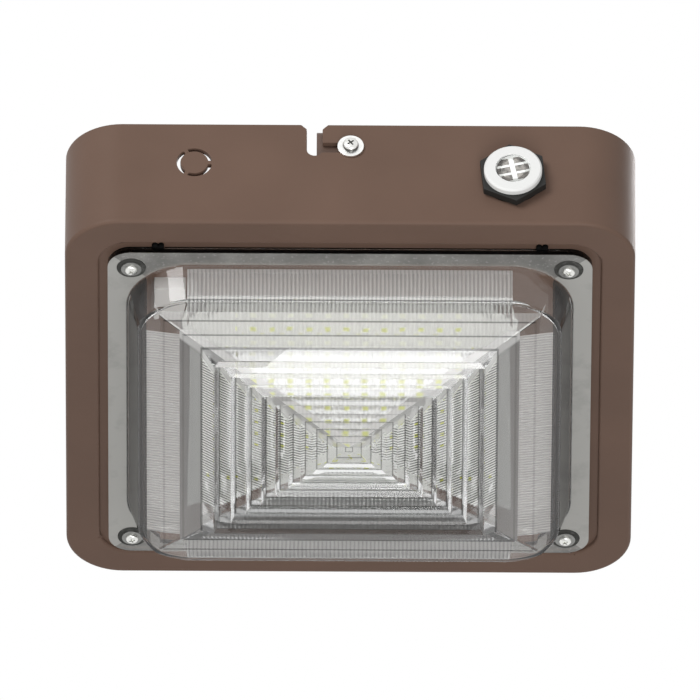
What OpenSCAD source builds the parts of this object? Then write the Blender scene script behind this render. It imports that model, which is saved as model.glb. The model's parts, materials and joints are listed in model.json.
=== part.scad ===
// Square LED canopy light for a garage ceiling, hung on a strap bracket by two side screws.
// Millimetres. The origin is the middle of the ceiling plane, +Z points up and the light hangs below it.
// The front wall, with the light sensor and the cable knock-out, faces -Y.

/* [Housing] */
// Width of the square die-cast housing
housing_w = 260; // [254:1:290]
// Height of the housing walls below the ceiling
housing_h = 57.2; // [54:0.2:72]
// Plan radius of the upright corners
corner_r = 26; // [20:0.5:30]
// Thickness of the cast walls
wall_t = 3; // [2.6:0.1:3.6]
// Thickness of the cast floor
floor_t = 5; // [4.2:0.1:6.4]
// Radius of the edge between the walls and the face
edge_r = 1.8; // [1:0.1:2.4]
// Depth of the recess that the lens sits in
recess_depth = 2; // [1.6:0.1:2.6]
// Width of the shadow gap between the lens flange and the recess lip
shadow_gap = 4; // [3:0.1:6]
// Radius that rounds the lip of the recess
lip_r = 1.2; // [0.6:0.1:1.6]

/* [Cast ribs and bosses] */
// Height of the cooling ribs on the inside of the floor
rib_h = 6; // [4:0.5:9]
// Thickness of a cooling rib
rib_t = 2; // [1.6:0.1:3]
// Clear space between the outer ribs and the board bosses or the driver
rib_clear = 5; // [3:0.5:8]
// Number of cooling ribs
rib_count = 6; // [3:1:6]
// Length of the cooling ribs
rib_len = 150; // [120:1:156]
// Wall left round a screw hole in a boss
boss_wall = 2.6; // [2:0.1:3.4]
// Height of the lens screw bosses above the floor
lens_boss_h = 12; // [10:0.5:16]
// Height of the board screw bosses above the floor
board_boss_h = 5; // [4:0.5:5.5]
// Metal left above the end of a blind screw hole
boss_cap = 1.5; // [1:0.1:2]
// Space between a screw's end and the end of its hole
screw_end_gap = 1; // [0.6:0.1:1.4]

/* [Lens] */
// Width of the flat lens flange outside the drop wall
flange_ledge = 8.7; // [8:0.1:10]
// Plan radius of the flange corners
flange_corner_r = 10.5; // [8:0.5:13]
// Thickness of the lens flange
flange_t = 3; // [2.4:0.1:4]
// Width of the lens drop at the rim
rim_w = 193.8; // [186:0.2:196]
// Plan radius of the rim corners
rim_corner_r = 25; // [20:0.5:30]
// Slope of the drop wall, as the widening from the rim up to the flange
drop_draft = 4.9; // [2:0.1:5.4]
// Height of the drop wall from the flange to the rim
drop_h = 16.9; // [12:0.1:22]
// Radius that rounds the rim edge
rim_edge_r = 1.6; // [0.8:0.1:2.4]
// Thickness of the lens material
lens_t = 3; // [2.4:0.1:3.6]
// Depth of the shallow crown below the rim
crown_h = 10.2; // [7:0.1:13]
// How fast the crown rounds over, where 1 is a straight pyramid
crown_power = 1.55; // [1.2:0.05:1.9]
// Number of plain bands between the rim and the prism teeth
band_count = 3; // [2:1:3]
// Width of a plain band
band_w = 9.77; // [9:0.01:10.2]
// Height of the fine step between two bands
band_step = 0.25; // [0.1:0.05:0.4]
// Width of that fine step
band_run = 0.6; // [0.4:0.1:1]
// Width of the outermost prism tooth
tooth_w = 8; // [7.4:0.1:8.6]
// How much narrower each next tooth toward the middle is
tooth_shrink = 0.4; // [0.3:0.02:0.44]
// Width of the steep side of a prism tooth
tooth_run = 2.1; // [1.4:0.1:2.4]
// Width of the flat at the tip of a tooth
tip_flat = 0.2; // [0.1:0.05:0.4]
// How far the tips reach below the middle of the crown
tip_drop = 0.6; // [0.4:0.1:1.2]

/* [Lens gasket and screws] */
// Thickness of the gasket under the lens flange
gasket_t = 1.5; // [1.2:0.1:1.8]
// How far the gasket edge stays inside the flange edge
gasket_inset = 1; // [0.5:0.1:2]
// Distance of the two gasket pull tabs from the side edges of the flange
pull_tab_in = 23; // [15:0.5:40]
// Width of a gasket pull tab with its two lobes
pull_tab_w = 5.5; // [4:0.5:6]
// Reach of a pull tab past the flange edge
pull_tab_reach = 2.2; // [1.8:0.1:2.6]
// Distance of the lens screws from the flange edge
lens_screw_inset = 10.8; // [10.2:0.1:11.4]
// Shank diameter of the lens screws
lens_screw_d = 4; // [3:0.1:4.4]
// Head diameter of the lens screws
lens_head_d = 5.8; // [5.6:0.1:6.8]
// Head height of the lens screws
lens_head_h = 1.6; // [1.2:0.1:2.2]
// Diameter of the metal washers of the lens screws
lens_washer_d = 9.4; // [8.8:0.1:10]
// Thickness of the metal washers of the lens screws
lens_washer_t = 0.8; // [0.5:0.1:1]
// Diameter of the rubber seals of the lens screws
seal_d = 13.2; // [11:0.1:14]
// Thickness of the rubber seals of the lens screws
seal_t = 1.2; // [1:0.1:1.6]
// Depth of the pockets for the rubber seals
seal_pocket = 0.8; // [0.5:0.1:1]

/* [LED board] */
// Space between the edge of the square LED board and the lens rim
board_margin = 22.9; // [22:0.1:26]
// Thickness of the LED board
board_t = 1.6; // [1:0.1:2]
// Thickness of the heat-conducting pad behind the board
pad_t = 0.5; // [0.3:0.1:1]
// How far the pad stays inside the board edge
pad_inset = 1; // [0.5:0.1:2]
// Spacing of the LEDs
led_pitch = 8.5; // [7.5:0.1:9]
// Number of LEDs along each side of the outer ring
ring_count = 11; // [7:2:11]
// Distance of the outer ring of LEDs from the board edge
ring_inset = 23; // [21:0.5:24]
// Number of LEDs along each side of the middle block
block_count = 7; // [3:2:7]
// Size of one LED
led_w = 3; // [2.4:0.1:3.4]
// Height of one LED
led_h = 0.8; // [0.6:0.1:1]
// Distance of the corner board screws from the board edge
board_screw_inset = 8; // [7:0.1:8.5]
// Shank diameter of the board screws
board_screw_d = 3; // [2.5:0.1:3]
// Head diameter of the board screws
board_head_d = 5.4; // [5:0.1:5.6]
// Head height of the board screws
board_head_h = 1.8; // [1.4:0.1:2.2]

/* [Lead cover] */
// Width of the white cover over the lead hole, along X
cover_w = 14; // [13.6:0.1:15]
// Length of the cover, along Y
cover_l = 22; // [20:0.5:26]
// Height of the cover below the recess
cover_h = 7; // [6:0.1:9]
// Wall of the cover
cover_t = 1.6; // [1.2:0.1:1.8]
// Width of the notch that the leads leave the cover through
cover_notch_w = 6; // [4:0.5:10]
// Height of that notch
cover_notch_h = 2; // [1.5:0.1:3]
// Gap between the cover and the edge of the LED board
cover_gap = 0.8; // [0.4:0.1:1.4]
// Reach of the cover past the front edge of the LED board
cover_past = 13; // [4:0.5:14]
// Diameter of the lead hole through the floor
lead_hole_d = 7; // [6:0.1:7.4]
// Bore of the rubber grommet in the lead hole
grommet_bore = 3.6; // [3:0.1:4.4]
// Reach of the grommet's lips past the lead hole
grommet_lip = 1.2; // [0.8:0.1:1.4]
// Thickness of the grommet's lips
grommet_lip_t = 1.2; // [0.8:0.1:1.6]

/* [Driver] */
// Length of the driver case with its end caps
driver_l = 124; // [110:1:130]
// Width of the driver
driver_w = 46; // [40:1:50]
// Height of the driver
driver_h = 27; // [22:0.5:30]
// Distance of the driver's middle line behind the middle of the light
driver_y = 46; // [44:0.5:54]
// Length of one end cap
cap_l = 8; // [6:0.5:12]
// Length of a fixing ear
ear_l = 11; // [10:0.5:13]
// Thickness of a fixing ear
ear_t = 2; // [1.6:0.1:3]
// Height of the bosses under the driver's ears
driver_boss_h = 7; // [6:0.5:8]
// Radius of the driver's long edges
driver_edge_r = 3; // [2:0.1:4]
// Diameter of the lead hole in an end cap
driver_lead_d = 7; // [5:0.5:9]
// Depth of the two grooves along the driver case
driver_groove = 1; // [0.6:0.1:1.6]
// Shank diameter of the driver screws
driver_screw_d = 4; // [3:0.1:4.2]

/* [Light sensor] */
// Distance of the sensor to the right of the middle
sensor_x = 74; // [60:0.5:76]
// Distance of the sensor below the ceiling
sensor_z = 31; // [25:0.5:32]
// Width of the hexagon collar across its corners
collar_d = 33; // [30:0.5:36]
// Thickness of the hexagon collar
collar_t = 4; // [3:0.1:6]
// How far the collar is turned from corner up
collar_turn = 6; // [0:1:30]
// Diameter of the threaded neck
neck_d = 20; // [17:0.1:21]
// Length of the neck behind the wall
neck_l = 11; // [9:0.5:14]
// Diameter of the barrel behind the neck
barrel_d = 17; // [14:0.5:17]
// Length of the barrel behind the neck
barrel_l = 9; // [5:0.5:12]
// Diameter of the white cap
sensor_cap_d = 26.5; // [24:0.1:27]
// Thickness of the white cap
sensor_cap_t = 3.2; // [2.8:0.1:5]
// Diameter of the clear window
window_d = 15.7; // [14:0.1:18]
// Thickness of the clear window
window_t = 1.4; // [1:0.1:1.6]
// Diameter of the light-sensitive cell
cell_d = 11; // [8:0.1:12]
// Thickness of the light-sensitive cell
cell_t = 1.1; // [0.8:0.1:1.2]
// Bevel round the front of the white cap
sensor_bevel = 0.8; // [0.4:0.1:1.2]
// Thickness of the sealing washer behind the collar
sensor_gasket_t = 1; // [0.6:0.1:1.6]
// How far the sealing washer stays inside the collar's flats
sensor_gasket_inset = 0.5; // [0.3:0.1:1]
// Width of the lock nut across its corners
locknut_d = 31; // [29:0.5:34]
// Thickness of the lock nut behind the wall
locknut_t = 5; // [4:0.1:6]

/* [Knock-out] */
// Distance of the cable knock-out to the left of the middle
knockout_x = 71.2; // [60:0.2:78]
// Distance of the knock-out below the ceiling
knockout_z = 22.1; // [18:0.1:30]
// Outer diameter of the ring slit round the knock-out
knockout_d = 16; // [14:0.1:18]
// Width of the ring slit
knockout_slit = 1.6; // [1:0.1:2]
// Number of ties that hold the knock-out in the wall
tie_count = 3; // [2:1:4]
// Width of a tie
tie_w = 2; // [1.4:0.1:3]

/* [Strap bracket] */
// Width of the strap and its two tabs
strap_w = 31; // [26:0.5:34]
// Thickness of the strap
strap_t = 2; // [1.6:0.1:2.6]
// Outer radius of the bends
bend_r = 4; // [3:0.1:6]
// Height of the tabs below the ceiling
tab_h = 22; // [20:0.5:26]
// Diameter of the round middle plate
plate_d = 108; // [102:1:116]
// Diameter of the hole for the supply wires
wire_hole_d = 22; // [18:0.5:28]
// Spacing of the box screws across the strap
box_spacing = 88.9; // [84:0.1:90]
// Diameter of the box screw holes
box_hole_d = 5; // [4.2:0.1:5.6]
// Spacing of the two slots along the strap
slot_spacing = 69.9; // [64:0.1:76]
// Length of a strap slot between its end centres
slot_l = 9; // [6:0.5:12]
// Distance of the ground screw from the middle, along X and Y
ground_at = 24; // [21:0.5:28]
// Shank diameter of the ground screw
ground_screw_d = 4; // [3:0.1:4.4]
// Head height of the ground screw
ground_head_h = 2.6; // [2:0.1:3.4]

/* [Lock screws and slots] */
// Distance of the lock screws below the ceiling
lock_z = 13.15; // [12:0.05:14]
// Distance that the light shifts to reach the upright leg of the slot
slot_shift = 16.4; // [14:0.1:20]
// Width of the upright leg
leg_w = 7.1; // [6.4:0.1:8]
// Depth of the upright leg's rounded end below the ceiling
leg_end = 17.8; // [17.2:0.1:19]
// Height of the level leg
level_h = 5.5; // [5:0.1:6]
// Chamfer at the open end of the upright leg
lead_in = 2.5; // [1:0.1:3.5]
// Shank diameter of the lock screws
lock_d = 4.2; // [3.6:0.1:4.6]
// Head diameter of the lock screws
lock_head_d = 7.4; // [6.8:0.1:9]
// Head height of the lock screws
lock_head_h = 2.6; // [2:0.1:3.4]
// Diameter of the lock washers
lock_washer_d = 12; // [11:0.1:14]
// Thickness of the lock washers
lock_washer_t = 1.2; // [0.8:0.1:1.6]
// Diameter of the clinch nuts behind the tabs
clinch_d = 9; // [7.6:0.1:10]
// Thickness of the clinch nuts
clinch_t = 3; // [2:0.1:4]
// Length of screw that shows behind a clinch nut
lock_tail = 1; // [0.5:0.1:3]

/* [Clearances] */
// Gap round fixed shanks, spigots and inlaid pieces
fit_gap = 0.1; // [0.05:0.01:0.15]
// Gap round the lock screws where they turn
turn_gap = 0.05; // [0.02:0.01:0.09]
// Gap between the lock washers and the housing walls
clamp_gap = 0.1; // [0.05:0.01:0.2]
// Gap between the bracket tabs and the housing walls
tab_gap = 0.35; // [0.3:0.05:0.8]

/* [Hidden] */
$fn = 64;

housing_half = housing_w / 2;
floor_top = floor_t - housing_h;
seat_z = recess_depth - housing_h;
flange_w = rim_w + 2 * drop_draft + 2 * flange_ledge;
recess_w = flange_w + 2 * shadow_gap;
recess_corner_r = flange_corner_r + shadow_gap;
flange_top = seat_z - gasket_t;
flange_bottom = flange_top - flange_t;
rim_z = flange_bottom - drop_h;
rim_half = rim_w / 2;
cavity_w = rim_w - 2 * lens_t;
cavity_corner_r = rim_corner_r - lens_t;
// Widening of the drop wall for each millimetre of height
drop_slope = drop_draft / drop_h;
prism_half = rim_half - band_count * band_w;
tip_depth = crown_h + tip_drop;
lens_screw_at = flange_w / 2 - lens_screw_inset;
pull_tab_x = flange_w / 2 - pull_tab_in;
lens_screw_hole_d = lens_screw_d + 2 * fit_gap;
seal_bottom = flange_bottom + seal_pocket - seal_t;
board_top = seat_z - pad_t;
board_bottom = board_top - board_t;
board_w = rim_w - 2 * board_margin;
ring_at = board_w / 2 - ring_inset;
board_screw_at = board_w / 2 - board_screw_inset;
board_screw_hole_d = board_screw_d + 2 * fit_gap;
cover_x = -board_w / 2 - cover_gap - cover_w / 2;
cover_y = cover_l / 2 - board_w / 2 - cover_past;
driver_bottom = floor_top + driver_boss_h;
driver_screw_at = driver_l / 2 + ear_l / 2;
driver_hole_d = driver_screw_d + 2 * fit_gap;
driver_head_d = 1.8 * driver_screw_d;
driver_head_h = 0.6 * driver_screw_d;
// How far the floor reaches into the walls, where the rounded edge leaves room
floor_grip = (wall_t - edge_r) / 2;
tab_face = housing_half - wall_t - tab_gap;
lock_turn_d = lock_d + 2 * turn_gap;
lock_shank_end = wall_t + tab_gap + strap_t + clinch_t + lock_tail;
collar_front = sensor_gasket_t + collar_t;
cell_gap = 0.1;
cell_base = collar_front + sensor_cap_t - window_t - cell_t - cell_gap;
// Radius that rounds the inside of the lens at the rim
hollow_edge_r = 0.5;
// How far the crown's base plane stays above the valleys between the teeth
tooth_root = 0.3;
// How far a tooth reaches up into the crown
tooth_grip = 1;
// Depth of the drive recesses as a share of the head height
recess_share = 0.55;
// Small overshoot that lets cuts pass right through a face
past = 1;

// Plain outlines and carriers

module rounded_square(side, corner) {
    square([side, side - 2 * corner], center = true);
    square([side - 2 * corner, side], center = true);
    for (x = [-1, 1], y = [-1, 1])
        translate([x * (side / 2 - corner), y * (side / 2 - corner)]) circle(corner);
}

// Carries a profile round a square with rounded corners; the profile's X points outward
module around_square(side, corner) {
    straight = side - 2 * corner;
    for (turn = [0 : 90 : 270]) rotate(turn) {
        translate([straight / 2, straight / 2, 0])
            rotate_extrude(angle = 90) translate([corner, 0]) children();
        translate([side / 2, straight / 2, 0])
            rotate([90, 0, 0]) linear_extrude(straight) children();
    }
}

// Puts a piece at the four corners of a square
module at_corners(reach) {
    for (x = [-1, 1], y = [-1, 1]) translate([x * reach, y * reach, 0]) children();
}

// Faces a piece out of the front wall, with its base plane on the wall's outer face
module on_front_wall(x, depth) {
    translate([x, -housing_half, -depth]) rotate([90, 0, 0]) children();
}

// Repeats a piece of the front wall at the rear wall
module at_rear() {
    mirror([0, 1, 0]) children();
}

module tube(outer, inner, height) {
    difference() {
        cylinder(d = outer, h = height);
        translate([0, 0, -past]) cylinder(d = inner, h = height + 2 * past);
    }
}

// A pan screw with its head below z = 0 and its shank above, and a cross recess in the head
module pan_screw(shank_d, shank_l, head_d, head_h) {
    slot_t = head_d / 7;
    slot_l = head_d * 0.6;
    bevel = head_h * 0.35;
    difference() {
        rotate_extrude() polygon([[0, -head_h], [head_d / 2 - bevel, -head_h],
            [head_d / 2, bevel - head_h], [head_d / 2, 0], [shank_d / 2, 0],
            [shank_d / 2, shank_l], [0, shank_l]]);
        for (turn = [0, 90]) rotate(turn) translate([-slot_l / 2, -slot_t / 2, -head_h - past])
            cube([slot_l, slot_t, past + recess_share * head_h]);
    }
}

// Bracket

module strap_section() {
    bar = tab_face - bend_r;
    translate([-bar, -strap_t]) square([2 * bar, strap_t]);
    for (side = [-1, 1]) {
        translate([side * bar, -bend_r]) intersection() {
            difference() {
                circle(bend_r);
                circle(bend_r - strap_t);
            }
            translate([side > 0 ? 0 : -bend_r, 0]) square(bend_r);
        }
        translate([side > 0 ? tab_face - strap_t : -tab_face, -tab_h])
            square([strap_t, tab_h - bend_r]);
    }
}

module mounting_strap() color([0.45, 0.38, 0.34]) difference() {
    union() {
        rotate([90, 0, 90]) linear_extrude(strap_w, center = true) strap_section();
        translate([0, 0, -strap_t]) cylinder(d = plate_d, h = strap_t);
    }
    translate([0, 0, -strap_t - past]) linear_extrude(strap_t + 2 * past) {
        circle(d = wire_hole_d);
        for (side = [-1, 1]) {
            translate([side * box_spacing / 2, 0]) circle(d = box_hole_d);
            translate([0, side * slot_spacing / 2]) strap_slot();
        }
        translate([ground_at, -ground_at]) circle(d = ground_screw_d + 2 * fit_gap);
    }
    for (side = [-1, 1]) translate([0, side * tab_face, -lock_z]) rotate([90, 0, 0])
        cylinder(d = lock_turn_d, h = 2 * (strap_t + past), center = true);
}

module strap_slot() {
    square([box_hole_d, slot_l], center = true);
    for (end = [-1, 1]) translate([0, end * slot_l / 2]) circle(d = box_hole_d);
}

module clinch_nut() {
    on_front_wall(0, lock_z) translate([0, 0, -wall_t - tab_gap - strap_t - clinch_t])
        tube(clinch_d, lock_turn_d, clinch_t);
}

module clinch_nuts() color([0.7, 0.7, 0.68]) {
    clinch_nut();
    at_rear() clinch_nut();
}

module ground_screw() color([0.2, 0.5, 0.28]) {
    slot_t = ground_screw_d / 4;
    slot_depth = ground_head_h * 0.4;
    translate([ground_at, -ground_at, -strap_t]) difference() {
        union() {
            translate([0, 0, -slot_depth]) cylinder(d = ground_screw_d, h = strap_t + slot_depth);
            translate([0, 0, -ground_head_h])
                cylinder(d = 2 * ground_screw_d, h = ground_head_h, $fn = 6);
        }
        translate([-ground_screw_d, -slot_t / 2, -ground_head_h - past])
            cube([2 * ground_screw_d, slot_t, past + slot_depth]);
    }
}

// Lock screws and washers

module lock_washer() color([0.86, 0.86, 0.84])
    on_front_wall(0, lock_z) translate([0, 0, clamp_gap])
        tube(lock_washer_d, lock_turn_d, lock_washer_t);

module lock_screw() color([0.72, 0.71, 0.68])
    on_front_wall(0, lock_z) translate([0, 0, clamp_gap + lock_washer_t]) mirror([0, 0, 1])
        pan_screw(lock_d, clamp_gap + lock_washer_t + lock_shank_end, lock_head_d, lock_head_h);

module lock_washer_front() lock_washer();
module lock_washer_rear() at_rear() lock_washer();
module lock_screw_front() lock_screw();
module lock_screw_rear() at_rear() lock_screw();

// Housing

// Wall section with the rounded lower edge
module wall_section() difference() {
    square([wall_t, housing_h]);
    translate([wall_t - edge_r, 0]) difference() {
        square(edge_r);
        translate([0, edge_r]) circle(edge_r);
    }
}

// Outline of the L-shaped slot, drawn as seen from the front with the ceiling at the top
module slot_outline() {
    translate([-slot_shift, leg_w / 2 - leg_end]) {
        circle(d = leg_w);
        translate([-leg_w / 2, 0]) square([leg_w, leg_end - leg_w / 2 + past]);
    }
    translate([-slot_shift, 0]) polygon([[-leg_w / 2, -lead_in], [-leg_w / 2 - lead_in, 0],
        [-leg_w / 2 - lead_in, past], [leg_w / 2 + lead_in, past],
        [leg_w / 2 + lead_in, 0], [leg_w / 2, -lead_in]]);
    translate([-slot_shift, -lock_z - level_h / 2]) square([slot_shift, level_h]);
    translate([0, -lock_z]) circle(d = level_h);
}

module slot_cut() {
    on_front_wall(0, 0) translate([0, 0, -wall_t - past])
        linear_extrude(wall_t + 2 * past) slot_outline();
}

// Ring slit round the knock-out, interrupted by the ties
module knockout_cut() on_front_wall(-knockout_x, knockout_z) difference() {
    translate([0, 0, -wall_t - past])
        tube(knockout_d, knockout_d - 2 * knockout_slit, wall_t + 2 * past);
    for (i = [0 : tie_count - 1]) rotate(i * 360 / tie_count)
        translate([0, -tie_w / 2, -wall_t - 2 * past])
            cube([knockout_d, tie_w, wall_t + 4 * past]);
}

// Rounds the lip of the recess that the lens sits in
module lip_section() difference() {
    square(lip_r);
    translate([lip_r, lip_r]) circle(lip_r);
}

module boss(hole_d, height) {
    cylinder(d = hole_d + 2 * boss_wall, h = height);
}

// Bosses stand on the floor of the casting, as a node of their own
module cast_bosses() color([0.42, 0.35, 0.32]) difference() {
    floor_bosses();
    floor_holes();
}

module floor_bosses() translate([0, 0, floor_top]) {
    at_corners(lens_screw_at) boss(lens_screw_hole_d, lens_boss_h);
    at_corners(board_screw_at) boss(board_screw_hole_d, board_boss_h);
    for (side = [-1, 1]) translate([side * driver_screw_at, driver_y, 0])
        boss(driver_hole_d, driver_boss_h);
}

// Holes from below for the lens and board screws, blind in their bosses
module floor_holes() {
    at_corners(lens_screw_at) translate([0, 0, seat_z - past])
        cylinder(d = lens_screw_hole_d, h = past + floor_top - seat_z + lens_boss_h - boss_cap);
    at_corners(board_screw_at) translate([0, 0, seat_z - past])
        cylinder(d = board_screw_hole_d, h = past + floor_top - seat_z + board_boss_h - boss_cap);
    translate([cover_x, cover_y, seat_z - past])
        cylinder(d = lead_hole_d, h = past + floor_top - seat_z + past);
    for (side = [-1, 1]) translate([side * driver_screw_at, driver_y, floor_top + boss_cap])
        cylinder(d = driver_hole_d, h = driver_boss_h);
}

// Cooling ribs stand on the floor of the casting, between the bosses
module cast_ribs() color([0.42, 0.35, 0.32]) {
    first_y = -board_screw_at + board_screw_hole_d / 2 + boss_wall + rib_clear;
    last_y = driver_y - driver_w / 2 - rib_clear - rib_t;
    pitch = (last_y - first_y) / (rib_count - 1);
    for (i = [0 : rib_count - 1]) translate([-rib_len / 2, first_y + i * pitch, floor_top])
        cube([rib_len, rib_t, rib_h]);
}

module housing() color([0.42, 0.35, 0.32]) difference() {
    union() {
        translate([0, 0, -housing_h])
            around_square(housing_w - 2 * wall_t, corner_r - wall_t) wall_section();
        translate([0, 0, -housing_h]) linear_extrude(floor_t)
            rounded_square(housing_w - 2 * wall_t + 2 * floor_grip, corner_r - wall_t + floor_grip);
    }
    translate([0, 0, -housing_h - past]) linear_extrude(recess_depth + past)
        rounded_square(recess_w, recess_corner_r);
    translate([0, 0, -housing_h]) around_square(recess_w, recess_corner_r) lip_section();
    floor_holes();
    slot_cut();
    at_rear() slot_cut();
    on_front_wall(sensor_x, sensor_z) translate([0, 0, -wall_t - past])
        cylinder(d = neck_d + 2 * fit_gap, h = wall_t + 2 * past);
    knockout_cut();
}

// Lens and its gasket

// Depth of the smooth crown below the rim at a distance from the middle
function crown_depth(half) = crown_h * (1 - pow(half / rim_half, crown_power));
// Distance of the outer edge of a plain band from the middle
function band_half(i) = rim_half - i * band_w;
// Distance of the outer edge of a prism tooth from the middle
function tooth_half(i) = prism_half - i * tooth_w + tooth_shrink * i * (i - 1) / 2;
// Teeth that fit before their flanks would meet in the middle
function tooth_count() = len([for (i = [1 : floor(tooth_w / tooth_shrink)])
    if (tooth_half(i) > 2 * tooth_run) i]);

// Half of the crown section that carries the teeth, from the rim inward
function crown_points() = concat([[rim_half, 0]],
    [for (i = [1 : band_count - 1]) each [
        [band_half(i), -crown_depth(band_half(i))],
        [band_half(i) - band_run, -crown_depth(band_half(i)) - band_step]]],
    [for (i = [1 : tooth_count()]) [tooth_half(i), tooth_root - crown_depth(tooth_half(i))]]);

// Half of the smooth section of the hollow behind the crown
function hollow_points() = concat([[flange_w / 2, lens_t]],
    [for (i = [0 : band_count - 1]) [band_half(i), lens_t - crown_depth(band_half(i))]],
    [for (i = [0 : tooth_count()]) [tooth_half(i), lens_t - crown_depth(tooth_half(i))]]);

module mirrored_section(points, top) {
    middle = [0, points[len(points) - 1].y];
    left = [for (p = points) [-p.x, p.y]];
    right = [for (i = [len(points) - 1 : -1 : 0]) points[i]];
    polygon(concat([[-points[0].x, top]], left, [middle], right, [[points[0].x, top]]));
}

// A square crown whose sides all follow one section, mitred on the diagonals
module crossed_section(points, top) {
    width = 2 * points[0].x;
    intersection() {
        rotate([90, 0, 0]) linear_extrude(width, center = true) mirrored_section(points, top);
        rotate([90, 0, 90]) linear_extrude(width, center = true) mirrored_section(points, top);
    }
}

// Half section of the drop wall with the rounded rim, standing on z = 0
module drop_section(corner, draft, height, edge) {
    arc = [for (a = [270 : 15 : 360]) [edge * cos(a) - edge, edge * sin(a) + edge]];
    polygon(concat([[-corner, height], [-corner, 0]], arc, [[draft, height]]));
}

// A four-sided frustum between a square at one depth and a square at another
module frustum(half, depth, end_half, end_depth) {
    section = [[-half, -depth], [half, -depth], [end_half, -end_depth], [-end_half, -end_depth]];
    reach = 2 * max(half, end_half);
    intersection() {
        rotate([90, 0, 0]) linear_extrude(reach, center = true) polygon(section);
        rotate([90, 0, 90]) linear_extrude(reach, center = true) polygon(section);
    }
}

// A square tooth, mitred at its corners: it slopes down and inward to its tip and climbs back steeply
module prism_tooth(i) {
    outer = tooth_half(i);
    inner = tooth_half(i + 1);
    tip = inner + tooth_run;
    slope = (outer - tip - tip_flat) / (tip_depth - crown_depth(outer));
    steep = tooth_run / (tip_depth - crown_depth(inner));
    top = crown_depth(outer) - tooth_grip;
    cut_top = crown_depth(inner) - tooth_grip / 2;
    difference() {
        frustum(outer + slope * tooth_grip, top, tip + tip_flat, tip_depth);
        frustum(inner - steep * tooth_grip / 2, cut_top, tip + steep * past, tip_depth + past);
    }
}

module drop_block(side, corner, draft, height, edge) {
    around_square(side, corner) drop_section(corner, draft, height, edge);
    linear_extrude(height) square(side - 2 * corner, center = true);
}

module lens_solid() {
    drop_top = drop_h + flange_t / 2;
    translate([0, 0, rim_z])
        drop_block(rim_w, rim_corner_r, drop_slope * drop_top, drop_top, rim_edge_r);
    translate([0, 0, rim_z]) intersection() {
        crossed_section(crown_points(), lens_t);
        translate([0, 0, -2 * crown_h]) linear_extrude(3 * crown_h)
            rounded_square(rim_w - 2 * rim_edge_r, rim_corner_r - rim_edge_r);
    }
    translate([0, 0, rim_z]) for (i = [0 : tooth_count() - 1]) prism_tooth(i);
    translate([0, 0, flange_bottom]) linear_extrude(flange_t)
        rounded_square(flange_w, flange_corner_r);
}

module lens_hollow() {
    hollow_top = drop_h + flange_t + past;
    translate([0, 0, rim_z]) intersection() {
        crossed_section(hollow_points(), hollow_top);
        union() {
            drop_block(cavity_w, cavity_corner_r, drop_slope * hollow_top, hollow_top,
                hollow_edge_r);
            translate([0, 0, -2 * crown_h]) linear_extrude(3 * crown_h)
                rounded_square(cavity_w, cavity_corner_r);
        }
    }
}

module lens() color([0.8, 0.82, 0.81, 0.55]) difference() {
    lens_solid();
    lens_hollow();
    at_corners(lens_screw_at) translate([0, 0, flange_bottom - past]) {
        cylinder(d = lens_screw_hole_d, h = flange_t + 2 * past);
        cylinder(d = seal_d + 2 * fit_gap, h = past + seal_pocket);
    }
}

module lens_gasket() color([0.07, 0.07, 0.07]) {
    outer_w = flange_w - 2 * gasket_inset;
    inner_w = rim_w + 2 * drop_draft;
    difference() {
        translate([0, 0, flange_top]) linear_extrude(gasket_t)
            rounded_square(outer_w, flange_corner_r - gasket_inset);
        translate([0, 0, flange_top - past]) linear_extrude(gasket_t + 2 * past)
            rounded_square(inner_w, rim_corner_r + drop_draft);
        at_corners(lens_screw_at) translate([0, 0, flange_top - past])
            cylinder(d = lens_screw_hole_d, h = gasket_t + 2 * past);
    }
    for (side = [-1, 1], lobe = [-1, 1])
        translate([side * pull_tab_x + lobe * pull_tab_w / 4, -flange_w / 2, flange_top])
            pull_lobe(pull_tab_w / 2);
}

// One rounded lobe of a pull tab, reaching out past the flange edge
module pull_lobe(width) {
    translate([0, width / 2 - pull_tab_reach, 0]) cylinder(d = width, h = gasket_t);
    translate([-width / 2, width / 2 - pull_tab_reach, 0])
        cube([width, pull_tab_reach - width / 2 + 2 * gasket_inset, gasket_t]);
}

module lens_screw_seals() color([0.08, 0.08, 0.08])
    at_corners(lens_screw_at) translate([0, 0, seal_bottom])
        tube(seal_d, lens_screw_hole_d, seal_t);

module lens_screw_washers() color([0.62, 0.62, 0.6])
    at_corners(lens_screw_at) translate([0, 0, seal_bottom - lens_washer_t])
        tube(lens_washer_d, lens_screw_hole_d, lens_washer_t);

module lens_screws() color([0.85, 0.85, 0.83]) {
    grip = lens_washer_t + seal_t - seal_pocket + flange_t + gasket_t + floor_top - seat_z;
    shank_l = grip + lens_boss_h - boss_cap - screw_end_gap;
    at_corners(lens_screw_at) translate([0, 0, seal_bottom - lens_washer_t])
        pan_screw(lens_screw_d, shank_l, lens_head_d, lens_head_h);
}

// Light board

module thermal_pad() color([0.55, 0.6, 0.68]) difference() {
    translate([0, 0, board_top]) linear_extrude(pad_t) square(board_w - 2 * pad_inset, center = true);
    board_screw_holes();
}

module board_screw_holes() {
    at_corners(board_screw_at) translate([0, 0, board_bottom - past])
        cylinder(d = board_screw_hole_d, h = board_t + pad_t + 2 * past);
}

module led_board() color([0.95, 0.95, 0.93]) difference() {
    translate([0, 0, board_bottom]) linear_extrude(board_t) square(board_w, center = true);
    board_screw_holes();
}

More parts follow.
